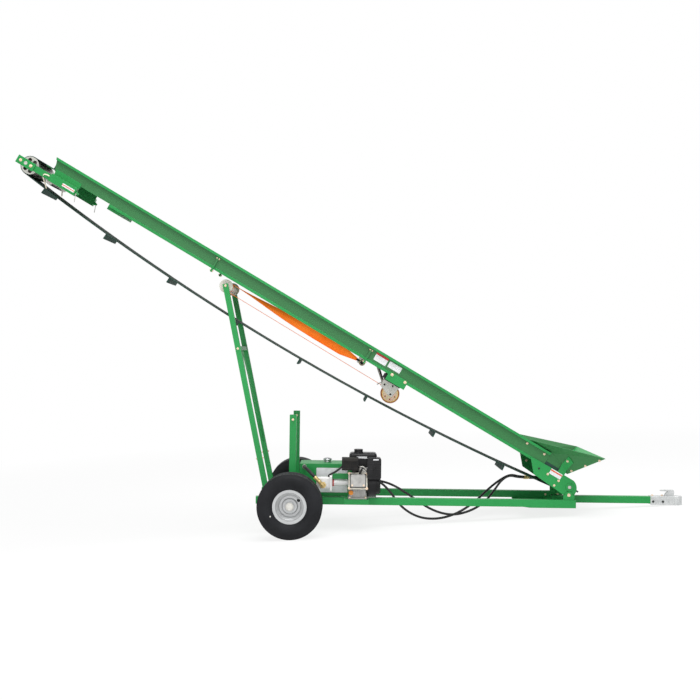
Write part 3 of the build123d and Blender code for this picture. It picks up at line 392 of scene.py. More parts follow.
half_track, disc_face, hub_face = 530, 18, 55
rim_steps = (
    (98, 71), (95, 74), (92.5, 71), (92, 54), (86, 50), (85, 40), (79, 36), (78, 25), (72, disc_face - 1),
    (76, disc_face - 3), (82, 22), (90, 34), (96, 50), (98, 71),
)
cap_outline = (
    (0, hub_face + 15), (14, hub_face + 14), (24, hub_face + 9), (28, hub_face + 3), (30, hub_face - 2),
    (0, hub_face - 2),
)
valve_outline = ((0, 38), (5, 38), (5.6, 26), (7.5, 25), (8.5, 5), (12, -1), (0, -1))
valve_seat = Matrix.Translation((0.062, 0.036, 0.018)) @ Matrix.Rotation(radians(38), 4, (-0.5, 0.87, 0))
mark_outline = ((0, 97), (3, 96.5), (5.5, 94.5), (6, 88), (0, 88))
mark_seat = Matrix.Translation((-0.133, -0.055, 0))
for name, facing in (("near", NEAR), ("far", FAR)):
    stand = standing(on_frame(0, facing.y * half_track, 0), facing)
    body = f"wheel_{name}"
    turned(f"rim_steps_{name}", rim_steps, stand, rim_silver, body, 64, 30)
    turned(f"grease_cap_{name}", cap_outline, stand, cap_cream, body)
    turned(f"valve_{name}", valve_outline, stand @ valve_seat, tyre_rubber, body, 16)
    turned(f"balance_mark_{name}", mark_outline, stand @ mark_seat, zinc_plate, body, 16)


# The belt is a ply rubber belt with rubber cleats, its cover printed with the fine weave of the
# cloth it was cured against and scuffed grey by the logs.
belt_rubber, place, shader = new_finish("belt_rubber", specular=0.3)
ribs = place.node("ShaderNodeTexWave", {"bands_direction": "Y"}, {"Vector": place, "Scale": 160.0})
scuffed = place.noise(7, 7)
feed(
    shader,
    Base_Color=scuffed.step(0.35, 0.8).tint((0.014, 0.046, 0.034, 1), (0.026, 0.072, 0.054, 1)),
    Roughness=0.55 + scuffed * 0.25,
    Normal=ribs.bump(0.10, 0.0006, place.soft_edge(0.002)),
)
coat(belt_rubber, "belt")


# The boom is bolted together from three lengths of folded wall, whose recessed webs are darkened with
# painted shade. Each joint has a bolt near the top of the end flanges and one through the feet welded under
# them, and a box under the bed ties the walls near the head. Its axes run uphill from the pivot.
boom_angle = radians(30.2)
boom_axes = Matrix((
    (-cos(boom_angle), sin(boom_angle), 0, 0),
    (0, 0, 1, 0),
    (sin(boom_angle), cos(boom_angle), 0, 0),
    (0, 0, 0, 1),
))
pivot = joint_spot["boom_lift"]
boom_place = Matrix.Translation(pivot) @ Matrix.Rotation(nose_dip, 4, "Y") @ boom_axes
UPHILL = (boom_place.to_3x3() @ Vector((1, 0, 0))).normalized()
SQUARE = (boom_place.to_3x3() @ Vector((0, 1, 0))).normalized()


def on_boom(u, n, y=0):
    """A place on the boom, in millimetres up it, square to it and across it from the pivot."""
    return boom_place @ (Vector((u, n, y)) * MM)


def add_block(shape, axes, corner, other, rounding=1.0):
    """A block between two corners given in millimetres in some axes, its edges eased."""
    size = [abs(b - a) for a, b in zip(corner, other)]
    middle = [(a + b) / 2 for a, b in zip(corner, other)]
    fit = Matrix.Translation(Vector(middle) * MM) @ Matrix.Diagonal((*(side * MM for side in size), 1))
    made = bmesh.ops.create_cube(shape, size=1, matrix=axes @ fit)
    edges = {edge for vert in made["verts"] for edge in vert.link_edges}
    bmesh.ops.bevel(
        shape, geom=list(edges), offset=rounding * MM, affect="EDGES", segments=2, profile=0.5, material=-1
    )


hem_top, lip_low = 0.098, 0.178
# The web between the hem and the lip takes the darker, greyer tint: painted shade under the lip.
wall_coat = green_paint("wall_powder_coat", (tuple(SQUARE), SQUARE.dot(pivot), hem_top, lip_low))
coat(wall_coat, "boom_lower", "boom_middle", "boom_upper")
wall_face, wall_bottom, splice_half = 250, 79.9, 6
foot_low, foot_in, foot_out = 56, wall_face - 16, wall_face + 14
feet = bmesh.new()
splice_spots = []
for u in (1744, 3020):
    for side in (-1, 1):
        for hand in (-1, 1):
            end = u + hand * splice_half
            add_block(feet, boom_place, (u, foot_low, side * foot_in), (end, wall_bottom, side * foot_out))
            for n, y in ((164, wall_face + 8), (67, wall_face)):
                splice_spots.append((on_boom(end, n, side * y), UPHILL * hand))
add_block(feet, boom_place, (3800, 60, -205), (3903, wall_bottom, 205), 2)
piece("splice_feet", feet, green_coat, "boom")
bolts("splice_bolts", splice_spots, "boom")


# The hopper's side sheets are bolted inside the walls, and its end sheet to their flared edges.
# The tail plates are bolted to the walls, to the hopper by their arms, and round the drum shaft.
# Rubber skirt strips close the gap between plates and hopper.
fold_low, fold_high, flare_tip = (84, 125), (255, 196), (-37, 351)
fold_y, flare = 243.7, 226
plate_face, plate_inner, lug_face = 259, 253, 268
# The whole side sheets take the web's darker, greyer tint: painted shade, as they sit inside the walls.
hopper_coat = green_paint("hopper_powder_coat", (tuple(SQUARE), SQUARE.dot(pivot), -0.2, 0.9))
coat(hopper_coat, "hopper_sides")
hopper_spots, tail_spots, plug_spots = [], [], []
for facing in (NEAR, FAR):
    side = facing.y
    for u, n in ((443, 166), (298, 162)):
        hopper_spots.append((on_boom(u, n, side * wall_face), facing))
    corner = on_boom(*fold_low, side * fold_y)
    up_fold = on_boom(*fold_high, side * fold_y) - corner
    to_tip = on_boom(*flare_tip, side * (fold_y + flare)) - corner
    out = up_fold.cross(to_tip).normalized()
    out = out if out.y * side > 0 else -out
    for share in (0.14, 0.5, 0.86):
        spot = corner + to_tip * share + up_fold * 0.05 * (1 - share) + out * 3 * MM
        hopper_spots.append((spot, out))
    arm = corner + up_fold * 0.47 + to_tip * 0.22 + out * 9.5 * MM
    tail_spots.append((arm, out))
    for u, n in ((205, 52), (114, 50), (124, 6)):
        tail_spots.append((on_boom(u, n, side * plate_face), facing))
    tail_spots.append((on_boom(290, 54, side * plate_inner), -facing))
    plug_spots.append((on_boom(280, 54, side * plate_face), facing))
bolts("hopper_bolts", hopper_spots, "boom")
bolts("tail_plate_bolts", tail_spots, "boom")
bolts("tail_plate_plugs", plug_spots, "boom", 9, bolt_black)
skirt_in, skirt_out = 244.2, 249.5
skirts = bmesh.new()
for side in (-1, 1):
    add_block(skirts, boom_place, (132, 92, side * skirt_in), (304, 126, side * skirt_out), 1.5)
piece("skirt_strips", skirts, belt_rubber, "boom")
bolts("pivot_bolts", [(on_boom(0, 0, facing.y * lug_face), facing) for facing in (NEAR, FAR)], "chassis", 15)
flange_outline = ((15, 0), (28, 0), (28, 5), (25, 7.5), (17, 7.5), (15, 6), (15, 0))
flange_stand = standing(on_boom(22, 50, -plate_face), NEAR)
turned("shaft_flange", flange_outline, flange_stand, green_coat, "boom")


# The head pulley turns in bearings bolted to plates on the take-up arms. A bent cream rod under
# each arm keeps the belt's return run in line, and a spring pin hangs from each sleeve.
bearing_n, bearing_face, sleeve_face = 44, 299.7, 293
bearing_spots = [
    (on_boom(u, bearing_n, facing.y * bearing_face), facing) for facing in (NEAR, FAR) for u in (4499, 4583)
]
bolts("bearing_bolts", bearing_spots, "boom", 14)
rod_cream = mottled(
    "rod_cream", grain=(90, 4), ramp=(0.3, 0.7), tones=((0.80, 0.68, 0.52), (0.88, 0.80, 0.68)),
    rough=(0.35, 0.2), metallic=0.2,
)


def tube_along(name, route, thick, finish, steps=8, bend=4):
    """A round tube on a smooth line by places in metres, and the points of its centre line."""
    line = bpy.data.curves.new(f"{name}_line", "CURVE")
    line.dimensions = "3D"
    line.resolution_u = steps
    spline = line.splines.new("NURBS")
    spline.points.add(len(route) - 1)
    for point, spot in zip(spline.points, route):
        point.co = (*spot, 1)
    spline.order_u = 3
    spline.use_endpoint_u = True
    guide = bpy.data.objects.new(f"{name}_line", line)
    path = [vertex.co.copy() for vertex in bpy.data.meshes.new_from_object(guide).vertices]
    line.bevel_depth = thick / 2 * MM
    line.bevel_resolution = bend
    line.use_fill_caps = True
    made = bpy.data.objects.new(name, bpy.data.meshes.new_from_object(guide))
    bpy.data.objects.remove(guide)
    bpy.context.collection.objects.link(made)
    made.data.shade_smooth()
    made.data.materials.clear()
    made.data.materials.append(finish)
    return made, path


def bent_rod(name, route, thick, finish, body, bend=4):
    """A round rod or pipe that rides on one body."""
    made, _ = tube_along(name, route, thick, finish, bend=bend)
    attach(made, body)


guide_route = (
    (4352, 50, 289), (4352, 50, 303), (4362, 50, 305), (4388, 44, 301), (4394, 24, 277), (4376, -6, 229),
    (4352, -36, 206),
)
pin_route = ((4122, 40, 293), (4121, 40, 297), (4118, 26, 299), (4110, 4, 297), (4102, -18, 296))
for name, side in (("near", -1), ("far", 1)):
    guide_places = [on_boom(u, n, side * y) for u, n, y in guide_route]
    bent_rod(f"belt_guide_{name}", guide_places, 9, rod_cream, "boom")
    pin_places = [on_boom(u, n, side * y) for u, n, y in pin_route]
    bent_rod(f"spring_pin_{name}", pin_places, 5, zinc_plate, "boom")


# Blank plates are stuck to the wall, the tail plate, the sleeve and the oil tank: white film with
# rounded corners, some with a coloured band along the top or the middle.
plate_white = mottled(
    "plate_white", grain=(34, 6), ramp=(0.45, 0.85), tones=((0.80, 0.81, 0.83), (0.66, 0.67, 0.67)),
    rough=(0.30, 0.2),
)
band_tones = {
    "band_red": ((0.52, 0.018, 0.014), (0.40, 0.016, 0.013)),
    "band_orange": ((0.78, 0.12, 0.03), (0.62, 0.10, 0.03)),
}
band_finish = {
    name: mottled(name, grain=(40, 5), ramp=(0.4, 0.8), tones=tones, rough=(0.32, 0.2))
    for name, tones in band_tones.items()
}


def blank_plate(name, axes, wide, high, body, band=None):
    """A rounded plate square to a stand's Z, with a band given as (finish, low, high) across it."""
    shape = bmesh.new()
    bmesh.ops.create_cube(shape, size=1, matrix=axes @ Matrix.Diagonal((wide * MM, high * MM, MM, 1)))
    facing = axes.col[2].to_3d().normalized()
    posts = []
    for edge in shape.edges:
        way = (edge.verts[0].co - edge.verts[1].co).normalized()
        if abs(way.dot(facing)) > 0.9:
            posts.append(edge)
    bmesh.ops.bevel(shape, geom=posts, offset=2.5 * MM, affect="EDGES", segments=4, profile=0.5, material=-1)
    finishes = [plate_white]
    if band:
        band_name, bottom, top = band
        finishes.append(band_finish[band_name])
        up = axes.col[1].to_3d().normalized()
        for level in (bottom, top):
            bmesh.ops.bisect_plane(
                shape, geom=shape.verts[:] + shape.edges[:] + shape.faces[:],
                plane_co=axes.translation + up * level * MM, plane_no=up,
            )
        for face in shape.faces:
            level = (face.calc_center_median() - axes.translation).dot(up) / MM
            if bottom < level < top:
                face.material_index = 1
    return piece(name, shape, finishes, body)


film = 0.6


def wall_stand(u, n, face):
    """Axes on the near side of the boom: X down the slope, Y square to it and Z to the viewer."""
    turn = Matrix((-UPHILL, SQUARE, NEAR)).transposed().to_4x4()
    return Matrix.Translation(on_boom(u, n, -face - film)) @ turn


def frame_stand(x, face, z):
    """Axes on the near side of the tow frame: X along it, Y up and Z to the viewer."""
    turn = Matrix.Rotation(nose_dip, 4, "Y") @ Matrix.Rotation(pi / 2, 4, "X")
    return Matrix.Translation(on_frame(x, face - film, z)) @ turn


tank_face = -200
blank_plate("wall_plate_banded", wall_stand(1650, 145, wall_face), 98, 58, "boom", ("band_red", 14, 40))
blank_plate("wall_plate_plain", wall_stand(1536, 144, wall_face), 100, 44, "boom")
blank_plate("tail_plate_banded", wall_stand(156, 82, plate_face), 92, 40, "boom", ("band_orange", 4, 14))
blank_plate("sleeve_plate_striped", wall_stand(4191, 47, sleeve_face), 98, 22, "boom", ("band_orange", -3, 3))
blank_plate("tank_plate", frame_stand(281, tank_face, 140), 224, 176, "chassis")


# The lift legs carry a pair of turned white nylon discs on a drum, under the boom's walls. The
# legs' brace is bolted through them near the foot, and the roller's pin at the top.
roller_nylon = mottled(
    "roller_nylon", grain=(26, 6), ramp=(0.45, 0.8), tones=((0.70, 0.68, 0.60), (0.50, 0.46, 0.36)),
    rough=(0.35, 0.2), bump=(0.05, 0.0005), rounding=0.002,
)
coat(roller_nylon, "leg_roller")
leg_foot, roller_spot, leg_half = Vector((-187, 0, 62)), Vector((-495.6, 0, 1528.4)), 19
brace_up, bar_down = 240, 458
leg_way = (roller_spot - leg_foot).normalized()
leg_face = parked.to_3x3() @ Vector((leg_way.z, 0, -leg_way.x))
leg_spots = []
for facing in (NEAR, FAR):
    brace = on_frame(*(leg_foot + leg_way * brace_up + facing * half_gauge))
    for hand in (-1, 1):
        leg_spots.append((brace + leg_face * hand * leg_half * MM, leg_face * hand))
    outside = facing * (half_gauge + leg_half)
    leg_spots.append((on_frame(*(roller_spot + outside)), facing))
    leg_spots.append((on_frame(*(roller_spot - leg_way * bar_down + outside)), facing))
bolts("leg_bolts", leg_spots, "legs")


# The engine is a small petrol engine: sand-cast alloy crankcase and valve cover, black plastic
# fan shroud and fuel tank, and a black heat-proof painted muffler. The drive motor is black too.
cast_alloy, place, shader = new_finish("cast_alloy", metallic=0.45)
sand = place.noise(260, 4)
stain = place.noise(22, 6)
feed(
    shader,
    Base_Color=stain.step(0.3, 0.75).tint((0.47, 0.465, 0.45, 1), (0.28, 0.275, 0.265, 1)),
    Roughness=0.42 + sand * 0.25,
    Normal=sand.bump(0.30, 0.0012, place.soft_edge(0.002)),
)
coat(cast_alloy, "engine_block")
shroud_plastic, place, shader = new_finish("shroud_plastic", specular=0.22)
leather = place.noise(340, 3)
handled = place.noise(19, 5)
feed(
    shader,
    Base_Color=handled.step(0.4, 0.8).tint((0.008, 0.008, 0.009, 1), (0.018, 0.018, 0.020, 1)),
    Roughness=0.24 + leather * 0.2,
    Normal=leather.bump(0.12, 0.0006, place.soft_edge(0.003)),
)
coat(shroud_plastic, "engine_shroud", "engine_tank", "drive_motor")
heat_paint = mottled(
    "heat_paint", grain=(24, 6), ramp=(0.4, 0.8), tones=((0.014, 0.014, 0.014), (0.036, 0.031, 0.027)),
    rough=(0.6, 0.2), bump=(0.08, 0.0006), rounding=0.002, specular=0.22,
)
coat(heat_paint, "engine_muffler")


# On the engine: an orange oil plug, a barred guard over the muffler, moulded ridges on the air
# cleaner, the plug's lead, and two bent links over the carburettor. Ribs are cast on the crankcase,
# and a pale rim with a black gasket is bolted round the valve cover.
plug_orange = mottled(
    "plug_orange", grain=(50, 4), ramp=(0.4, 0.8), tones=((0.86, 0.30, 0.02), (0.70, 0.22, 0.02)),
    rough=(0.35, 0.2),
)
case_face = -382.5
plug_outline = ((0, 26), (7, 26), (8, 24), (8, 14), (15, 13), (16, 11), (16, 2), (12, 0), (0, 0))
plug_stand = standing(on_frame(420, case_face, 76), NEAR)
turned("oil_plug", plug_outline, plug_stand, plug_orange, "chassis", 28)

muffler_low, muffler_high, muffler_face = 238, 326, -459.3
bar_half, bar_pitch = 3, 15.5
guard = bmesh.new()
for index in range(7):
    x = 366 + index * bar_pitch
    add_block(
        guard, parked, (x - bar_half, muffler_face - 5, muffler_low + 10),
        (x + bar_half, muffler_face + 2, muffler_high - 10),
    )
for z in (muffler_low + 14, muffler_high - 22):
    add_block(guard, parked, (358, muffler_face - 7, z), (466, muffler_face - 4, z + 8))
piece("muffler_guard", guard, heat_paint, "chassis")

cleaner_face, ridge_half = -453.8, 3
ridges = bmesh.new()
for z in (206, 246, 290):
    add_block(ridges, parked, (536, cleaner_face - 3, z - ridge_half), (624, cleaner_face + 2, z + ridge_half))
add_block(ridges, parked, (574, cleaner_face - 8, 224), (586, cleaner_face + 1, 270))
piece("cleaner_ridges", ridges, shroud_plastic, "chassis")

lead_route = (
    (480, -436, 212), (482, -448, 222), (490, -454, 242), (500, -450, 258), (506, -430, 262), (508, -396, 256),
    (508, -366, 250),
)
lead_places = [on_frame(*spot) for spot in lead_route]
bent_rod("plug_lead", lead_places, 13, shroud_plastic, "chassis")
link_route = (
    (474, -380, 262), (474, -442, 265), (492, -450, 267), (508, -450, 264), (522, -448, 250), (534, -442, 238),
    (534, -400, 236),
)
for name, drop in (("upper", 0), ("lower", -20)):
    link_places = [on_frame(x, y, z + drop) for x, y, z in link_route]
    bent_rod(f"throttle_link_{name}", link_places, 7, zinc_plate, "chassis")
carb = bmesh.new()
add_block(carb, parked, (473, -396, 204), (530.8, -330, 251.5), 6)
add_block(carb, parked, (492, -412, 214), (524, -396, 238), 4)
piece("carburettor", carb, cast_alloy, "chassis")
collar_outline = ((0, 0), (33, -2), (33, 4), (28, 9), (0, 9))
collar_stand = standing(on_frame(470.3, -294.5, 352), UP)
turned("fuel_collar", collar_outline, collar_stand, shroud_plastic, "chassis", 32)

rib_half, rib_pitch = 3, 16
case_ribs = bmesh.new()
for index in range(5):
    x = 436 + index * rib_pitch
    add_block(case_ribs, parked, (x - rib_half, case_face - 5, 44), (x + rib_half, case_face + 2, 104), 1.5)
piece("case_ribs", case_ribs, cast_alloy, "chassis")

raw_alloy = mottled(
    "raw_alloy", grain=(200, 4), ramp=(0.3, 0.75), tones=((0.86, 0.83, 0.74), (0.70, 0.66, 0.56)),
    rough=(0.45, 0.2), metallic=0.2,
)
crank_x, crank_y, crank_z = 468, -310, 136.4
lean = radians(13)
bore = parked.to_3x3() @ Vector((0, -cos(lean), sin(lean)))
cover_up = parked.to_3x3() @ Vector((0, sin(lean), cos(lean)))
bore_turn = Matrix((ALONG, cover_up, bore)).transposed().to_4x4()
bore_axes = Matrix.Translation(on_frame(crank_x, crank_y, crank_z)) @ bore_turn
rim_low, rim_top, gasket_low, gasket_top, cover_top = 118, 129, 126, 131, 147
gasket, rim_bars = bmesh.new(), bmesh.new()
for hand in (-1, 1):
    add_block(gasket, bore_axes, (hand * 53.2, -48, gasket_low), (hand * 56.5, 48, gasket_top), 0.8)
    add_block(gasket, bore_axes, (-56, hand * 45.2, gasket_low), (56, hand * 48.5, gasket_top), 0.8)
    add_block(rim_bars, bore_axes, (hand * 57, -58, rim_low), (hand * 66, 58, rim_top), 2)
    add_block(rim_bars, bore_axes, (-66, hand * 50, rim_low), (66, hand * 58, rim_top), 2)
piece("cover_gasket", gasket, heat_paint, "chassis")
piece("head_rim", rim_bars, raw_alloy, "chassis")
bolt_places = [(x, y, rim_top) for x in (-61, 61) for y in (-53, 53)] + [(x, -34, cover_top) for x in (-40, 40)]
engine_spots = [(bore_axes @ (Vector(spot) * MM), bore) for spot in bolt_places]
engine_spots += [(on_frame(x, -388, 40.4), UP) for x in (412, 522)]
bolts("engine_bolts", engine_spots, "chassis", 12)
fuel_face = -363.6
blank_plate("fuel_tank_plate", frame_stand(494, fuel_face, 322), 72, 14, "chassis")
blank_plate("cleaner_plate", frame_stand(592, cleaner_face, 316), 38, 8, "chassis")


# The gear pump is milled alloy and hangs on its flange in line with the crankshaft, over a painted
# pan between the rails. Its coupling has a red spider ring, its port a brass flange with a fitting,
# and a thick black hose brings oil from the tank.
brass = mottled(
    "brass", grain=(70, 5), ramp=(0.35, 0.8), tones=((0.74, 0.56, 0.24), (0.46, 0.34, 0.16)),
    rough=(0.28, 0.25), metallic=0.8,
)
pump_alloy = mottled(
    "pump_alloy", grain=(180, 4), ramp=(0.3, 0.75), tones=((0.78, 0.78, 0.77), (0.62, 0.62, 0.61)),
    rough=(0.36, 0.2), bump=(0.15, 0.0008), rounding=0.002, metallic=0.3,
)
coat(pump_alloy, "pump")
pan_half = 224.5
pan = bmesh.new()
add_block(pan, parked, (66, -pan_half, -3), (371, pan_half, 1))
piece("tank_pan", pan, green_coat, "chassis")
ring_outline = ((20, -5), (25.5, -5), (26, -4), (26, 4), (25.5, 5), (20, 5), (20, -5))
ring_stand = standing(on_frame(293, crank_y, crank_z), ALONG)
turned("coupling_ring", ring_outline, ring_stand, band_finish["band_red"], "chassis")
port_outline = ((0, 14), (10, 14), (11, 12), (15, 6), (24, 5), (25, 3), (25, 0), (0, 0))
port = bmesh.new()
spun(port, port_outline, standing(on_frame(221, -366, 124.4), NEAR), 6)
piece("pump_port", port, brass, "chassis")
hose_rubber = mottled(
    "hose_rubber", grain=(150, 3), ramp=(0.3, 0.8), tones=((0.008, 0.008, 0.009), (0.020, 0.020, 0.021)),
    rough=(0.38, 0.2), bump=(0.15, 0.0008), specular=0.4,
)
suction_dia, bend_share = 24, 0.45
suction_route = (
    (221, -377.3, 124.4), (191, -377.3, 154.4), (140, -367.3, 205), (102, -300, 231), (82, -248, 237),
    (82, -200.3, 237),
)
corners = [on_frame(*spot) for spot in suction_route]
suction_places = corners[:1]
for before, corner, after in zip(corners, corners[1:], corners[2:]):
    reach = bend_share * min((corner - before).length, (after - corner).length)
    start = corner + (before - corner).normalized() * reach
    end = corner + (after - corner).normalized() * reach
    for share in (0, 0.25, 0.5, 0.75, 1):
        suction_places.append(start.lerp(corner, share).lerp(corner.lerp(end, share), share))
suction_places.append(corners[-1])
bent_rod("suction_hose", suction_places, suction_dia, hose_rubber, "chassis", 8)
fitting_outline = (
    (8, -4), (14.5, -4), (14.5, 14), (13, 16), (13, 26), (14, 28), (14, 44), (13, 46), (13.4, 48), (13.4, 82),
    (12, 84), (8, 84), (8, -4),
)
fitting_stand = standing(corners[0], (corners[1] - corners[0]).normalized())
turned("suction_fitting", fitting_outline, fitting_stand, brass, "chassis", 28)
clamp_outline = ((13, 4), (15.5, 4), (15.5, 16), (13, 16), (13, 4))
turned("hose_clamps", clamp_outline, standing(corners[-1], NEAR), zinc_plate, "chassis", 28)
pipe_route = (
    (262, -332, 184), (264, -340, 192), (276, -346, 200), (304, -348, 214), (334, -348, 236), (350, -346, 250),
    (362, -344, 258),
)
pipe_places = [on_frame(*spot) for spot in pipe_route]
bent_rod("pressure_pipe", pipe_places, 15, hose_rubber, "chassis")


# The oil tank's filler has a chromed breather cap: a short neck under a wide dome with a rolled
# lip. It stands for the plain stepped cap.
chrome = mottled(
    "chrome", grain=(44, 5), ramp=(0.3, 0.8), tones=((0.50, 0.51, 0.52), (0.34, 0.35, 0.36)),
    rough=(0.12, 0.2), metallic=0.95,
)
tank_top, filler_x, filler_y = 257, 246, -75
dome_outline = (
    (0, 34), (10, 33.5), (20, 31.5), (28, 28), (32, 23.5), (33, 20), (32, 17.6), (29, 17), (27, 16), (27, 5),
    (29, 4), (29, 0), (0, 0),
)
dome_stand = standing(on_frame(filler_x, filler_y, tank_top), UP)
dome = turned("filler_dome", dome_outline, dome_stand, chrome, "chassis", 48)
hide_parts("tank_cap")


# Two pressure hoses run from the oil tank to the drive motor, hanging below the rails between
# their ends. They are wire-braided black rubber. Brass ferrules are crimped on them at the motor.
hose_dia = 17
hose_runs = {
    "hose_long": (1.643, [
        (500.3, -120, 150), (590, -120, 150), (690, -165, 80), (775, -190, -45),
        (905, -198, -124), (1050, -196, -134), (1190, -180, -94), (1330, -90, -18),
        (1440, 60, 55), (1540, 165, 112), (1636, 262, 146), (1716, 300, 122), (1789.7, 300, 122),
    ]),
    "hose_short": (1.636, [
        (500.3, -60, 130), (600, -60, 130), (722, -138, 108), (850, -162, 30),
        (1000, -166, -72), (1150, -162, -112), (1290, -132, -82), (1405, -40, -30),
        (1490, 100, 38), (1560, 235, 98), (1635, 318, 132), (1714, 340, 112), (1789.7, 340, 112),
    ]),
}
ferrule_long = 42
ferrule_outline = (
    (9, 0), (12, 1), (12, 10), (11, 11.5), (12, 13), (12, 22), (11, 23.5), (12, 25), (12, 34), (11, 36),
    (11, 40), (9, ferrule_long), (9, 0),
)
ferrules = bmesh.new()
for name, (length, route) in hose_runs.items():
    hose_places = [on_frame(*spot) for spot in route]
    tube, path = tube_along(f"{name}_tube", hose_places, hose_dia, hose_rubber, 10)
    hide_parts(name)
    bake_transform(tube)
    end_x, end_y, end_z = route[-1]
    spun(ferrules, ferrule_outline, standing(on_frame(end_x - ferrule_long, end_y, end_z), ALONG), 24)
smooth(piece("hose_ferrules", ferrules, brass, "boom"))


# The winch hangs under the boom: yellow chromate gears between zinc plates, a stop pawl, a black
# buffer on the bracket and a lever in a black sleeve up to the wall.
chromate = mottled(
    "chromate", grain=(55, 5), ramp=(0.35, 0.7), tones=((0.62, 0.40, 0.10), (0.74, 0.56, 0.22)),
    rough=(0.30, 0.25), metallic=0.6,
)
chromate_pink = mottled(
    "chromate_pink", grain=(48, 4), ramp=(0.35, 0.65), tones=((0.78, 0.46, 0.40), (0.74, 0.66, 0.40)),
    rough=(0.32, 0.25), metallic=0.3,
)
chromate_brown = mottled(
    "chromate_brown", grain=(70, 5), ramp=(0.35, 0.7), tones=((0.28, 0.085, 0.02), (0.44, 0.17, 0.04)),
    rough=(0.34, 0.2), metallic=0.5,
)
winch_u, winch_n, gear_face = 1458, -39, 48
web_count, web_ring, tooth_root, tooth_high = 6, 0.041, 0.066, 2.4
face_outline = ((14, -1), (14, 0.1), (54, 0.1), (54, -1), (14, -1))
rim_outline = ((54.2, -1), (54.2, 0.2), (59, 0.2), (59, -1), (54.2, -1))
web_outline = ((0, 0.25), (5.4, 0.25), (6, 0.15), (6, -1), (0, -1))
tooth_outline = ((59.2, -7), (68, -7), (68, 0.25), (59.2, 0.25), (59.2, -7))
for name, facing in (("near", NEAR), ("far", FAR)):
    stand = standing(on_boom(winch_u, winch_n, facing.y * gear_face), facing)
    turned(f"gear_faces_{name}", face_outline, stand, chromate_pink, "boom", 48)
    turned(f"gear_rims_{name}", rim_outline, stand, chromate, "boom", 48)
    webs = bmesh.new()
    for index in range(web_count):
        web_turn = Matrix.Rotation(index * 2 * pi / web_count + 0.4, 4, "Z")
        spun(webs, web_outline, stand @ web_turn @ Matrix.Translation((web_ring, 0, 0)), 16)
    piece(f"gear_webs_{name}", webs, chromate_brown, "boom")
    teeth = bmesh.new()
    spun(teeth, tooth_outline, stand, 96)
    outer = []
    for face in teeth.faces:
        from_middle = face.calc_center_median() - stand.translation
        if abs(face.normal.dot(facing)) < 0.3 and from_middle.cross(facing).length > tooth_root:
            outer.append(face)
    outer.sort(key=lambda face: atan2(*((stand.inverted() @ face.calc_center_median()).to_2d())))
    grown = bmesh.ops.extrude_discrete_faces(teeth, faces=outer[::2])
    for face in grown["faces"]:
        bmesh.ops.translate(teeth, verts=face.verts[:], vec=face.normal * tooth_high * MM)
    smooth(piece(f"gear_teeth_{name}", teeth, chromate_brown, "boom"), 25)
frame_face, ear_face = 52.3, 257.3
winch_spots = [
    (on_boom(winch_u + u, winch_n + n, facing.y * frame_face), facing)
    for facing in (NEAR, FAR) for u, n in ((70, 38), (-4, -2), (12, 58))
]
bolts("winch_bolts", winch_spots, "boom", 9, bolt_black)
ear_spots = [(on_boom(u, 90, facing.y * ear_face), facing) for facing in (NEAR, FAR) for u in (1526, 1418)]
bolts("winch_bracket_bolts", ear_spots, "boom", 14)
buffer = bmesh.new()
add_block(buffer, boom_place, (1554.5, 40, -250), (1578, 76, -214), 4)
for side in (-1, 1):
    add_block(buffer, boom_place, (1417, 31, side * 56), (1552, 38, side * frame_face), 1)
piece("bracket_buffer", buffer, shroud_plastic, "boom")
lever_route = ((1624, 82, -60), (1612, 72, -60), (1596, 58, -60), (1576, 38, -59), (1560, 24, -58))
lever_places = [on_boom(*spot) for spot in lever_route]
bent_rod("winch_lever", lever_places, 13, shroud_plastic, "boom")
pawl_places = [on_boom(u, n, -46) for u, n in ((1552, 6), (1562, -4), (1568, -16), (1576, -30))]
bent_rod("winch_pawl", pawl_places, 7, zinc_plate, "boom")


# The lift strap is orange webbing. It leaves the winch as a flat run, goes round the leg roller
# and comes back, turned on edge, to a sewn end in a plated hook under the boom's lower splice.
# Its colour is also given out as a faint glow: painted light that lifts it in the shade under the walls.
strap_webbing, place, shader = new_finish("strap_webbing", specular=0.2)
ribs = place.node("ShaderNodeTexWave", {"bands_direction": "X"}, {"Vector": place, "Scale": 320.0})
faded = place.noise(12, 5)
dye_and_glow = faded.step(0.3, 0.8).tint((0.93, 0.17, 0.012, 1), (0.98, 0.24, 0.03, 1))
# The glow is painted light: the strap gives out light though it is no lamp.
shader.inputs["Emission Strength"].default_value = 0.38
feed(
    shader,
    Base_Color=dye_and_glow,
    Emission_Color=dye_and_glow,
    Roughness=0.75 + ribs * 0.15,
    Normal=ribs.bump(0.12, 0.0006),
)
strap_half, strap_thick, widening, narrowing = 25, 3, 0.44, 0.70
roller_u, roller_n, wrap_r = 2876, 24, 32.8
strap_start_n, eye_u = -17, 1796
wide_u, taper_u = 2150, 1930
lead_steps, wrap_steps, back_steps = 24, 12, 60
run = []
for index in range(lead_steps + 1):
    share = index / lead_steps
    u = winch_u + (roller_u - winch_u) * share
    run.append((u, strap_start_n + (roller_n - wrap_r - strap_start_n) * share, 0.0, 1.0))
for index in range(1, wrap_steps):
    turn = -pi / 2 + pi * index / wrap_steps
    run.append((roller_u + wrap_r * cos(turn), roller_n + wrap_r * sin(turn), 0.0, 1.0))
for index in range(back_steps + 1):
    u = roller_u + (eye_u - roller_u) * index / back_steps
    share = min((roller_u - u) / (roller_u - wide_u), 1.0)
    narrow = max((taper_u - u) / (taper_u - eye_u), 0.0)
    wide = (1 + widening * share) * (1 - narrowing * narrow)
    run.append((u, roller_n + wrap_r - 3 * share, pi / 2 * share * share * (3 - 2 * share), wide))


def strap_ends(u, n, turn, wide):
    """The two edges of the strap at a place along it, turned about its middle."""
    half = strap_half * wide
    return [on_boom(u, n + side * half * sin(turn), side * half * cos(turn)) for side in (-1, 1)]


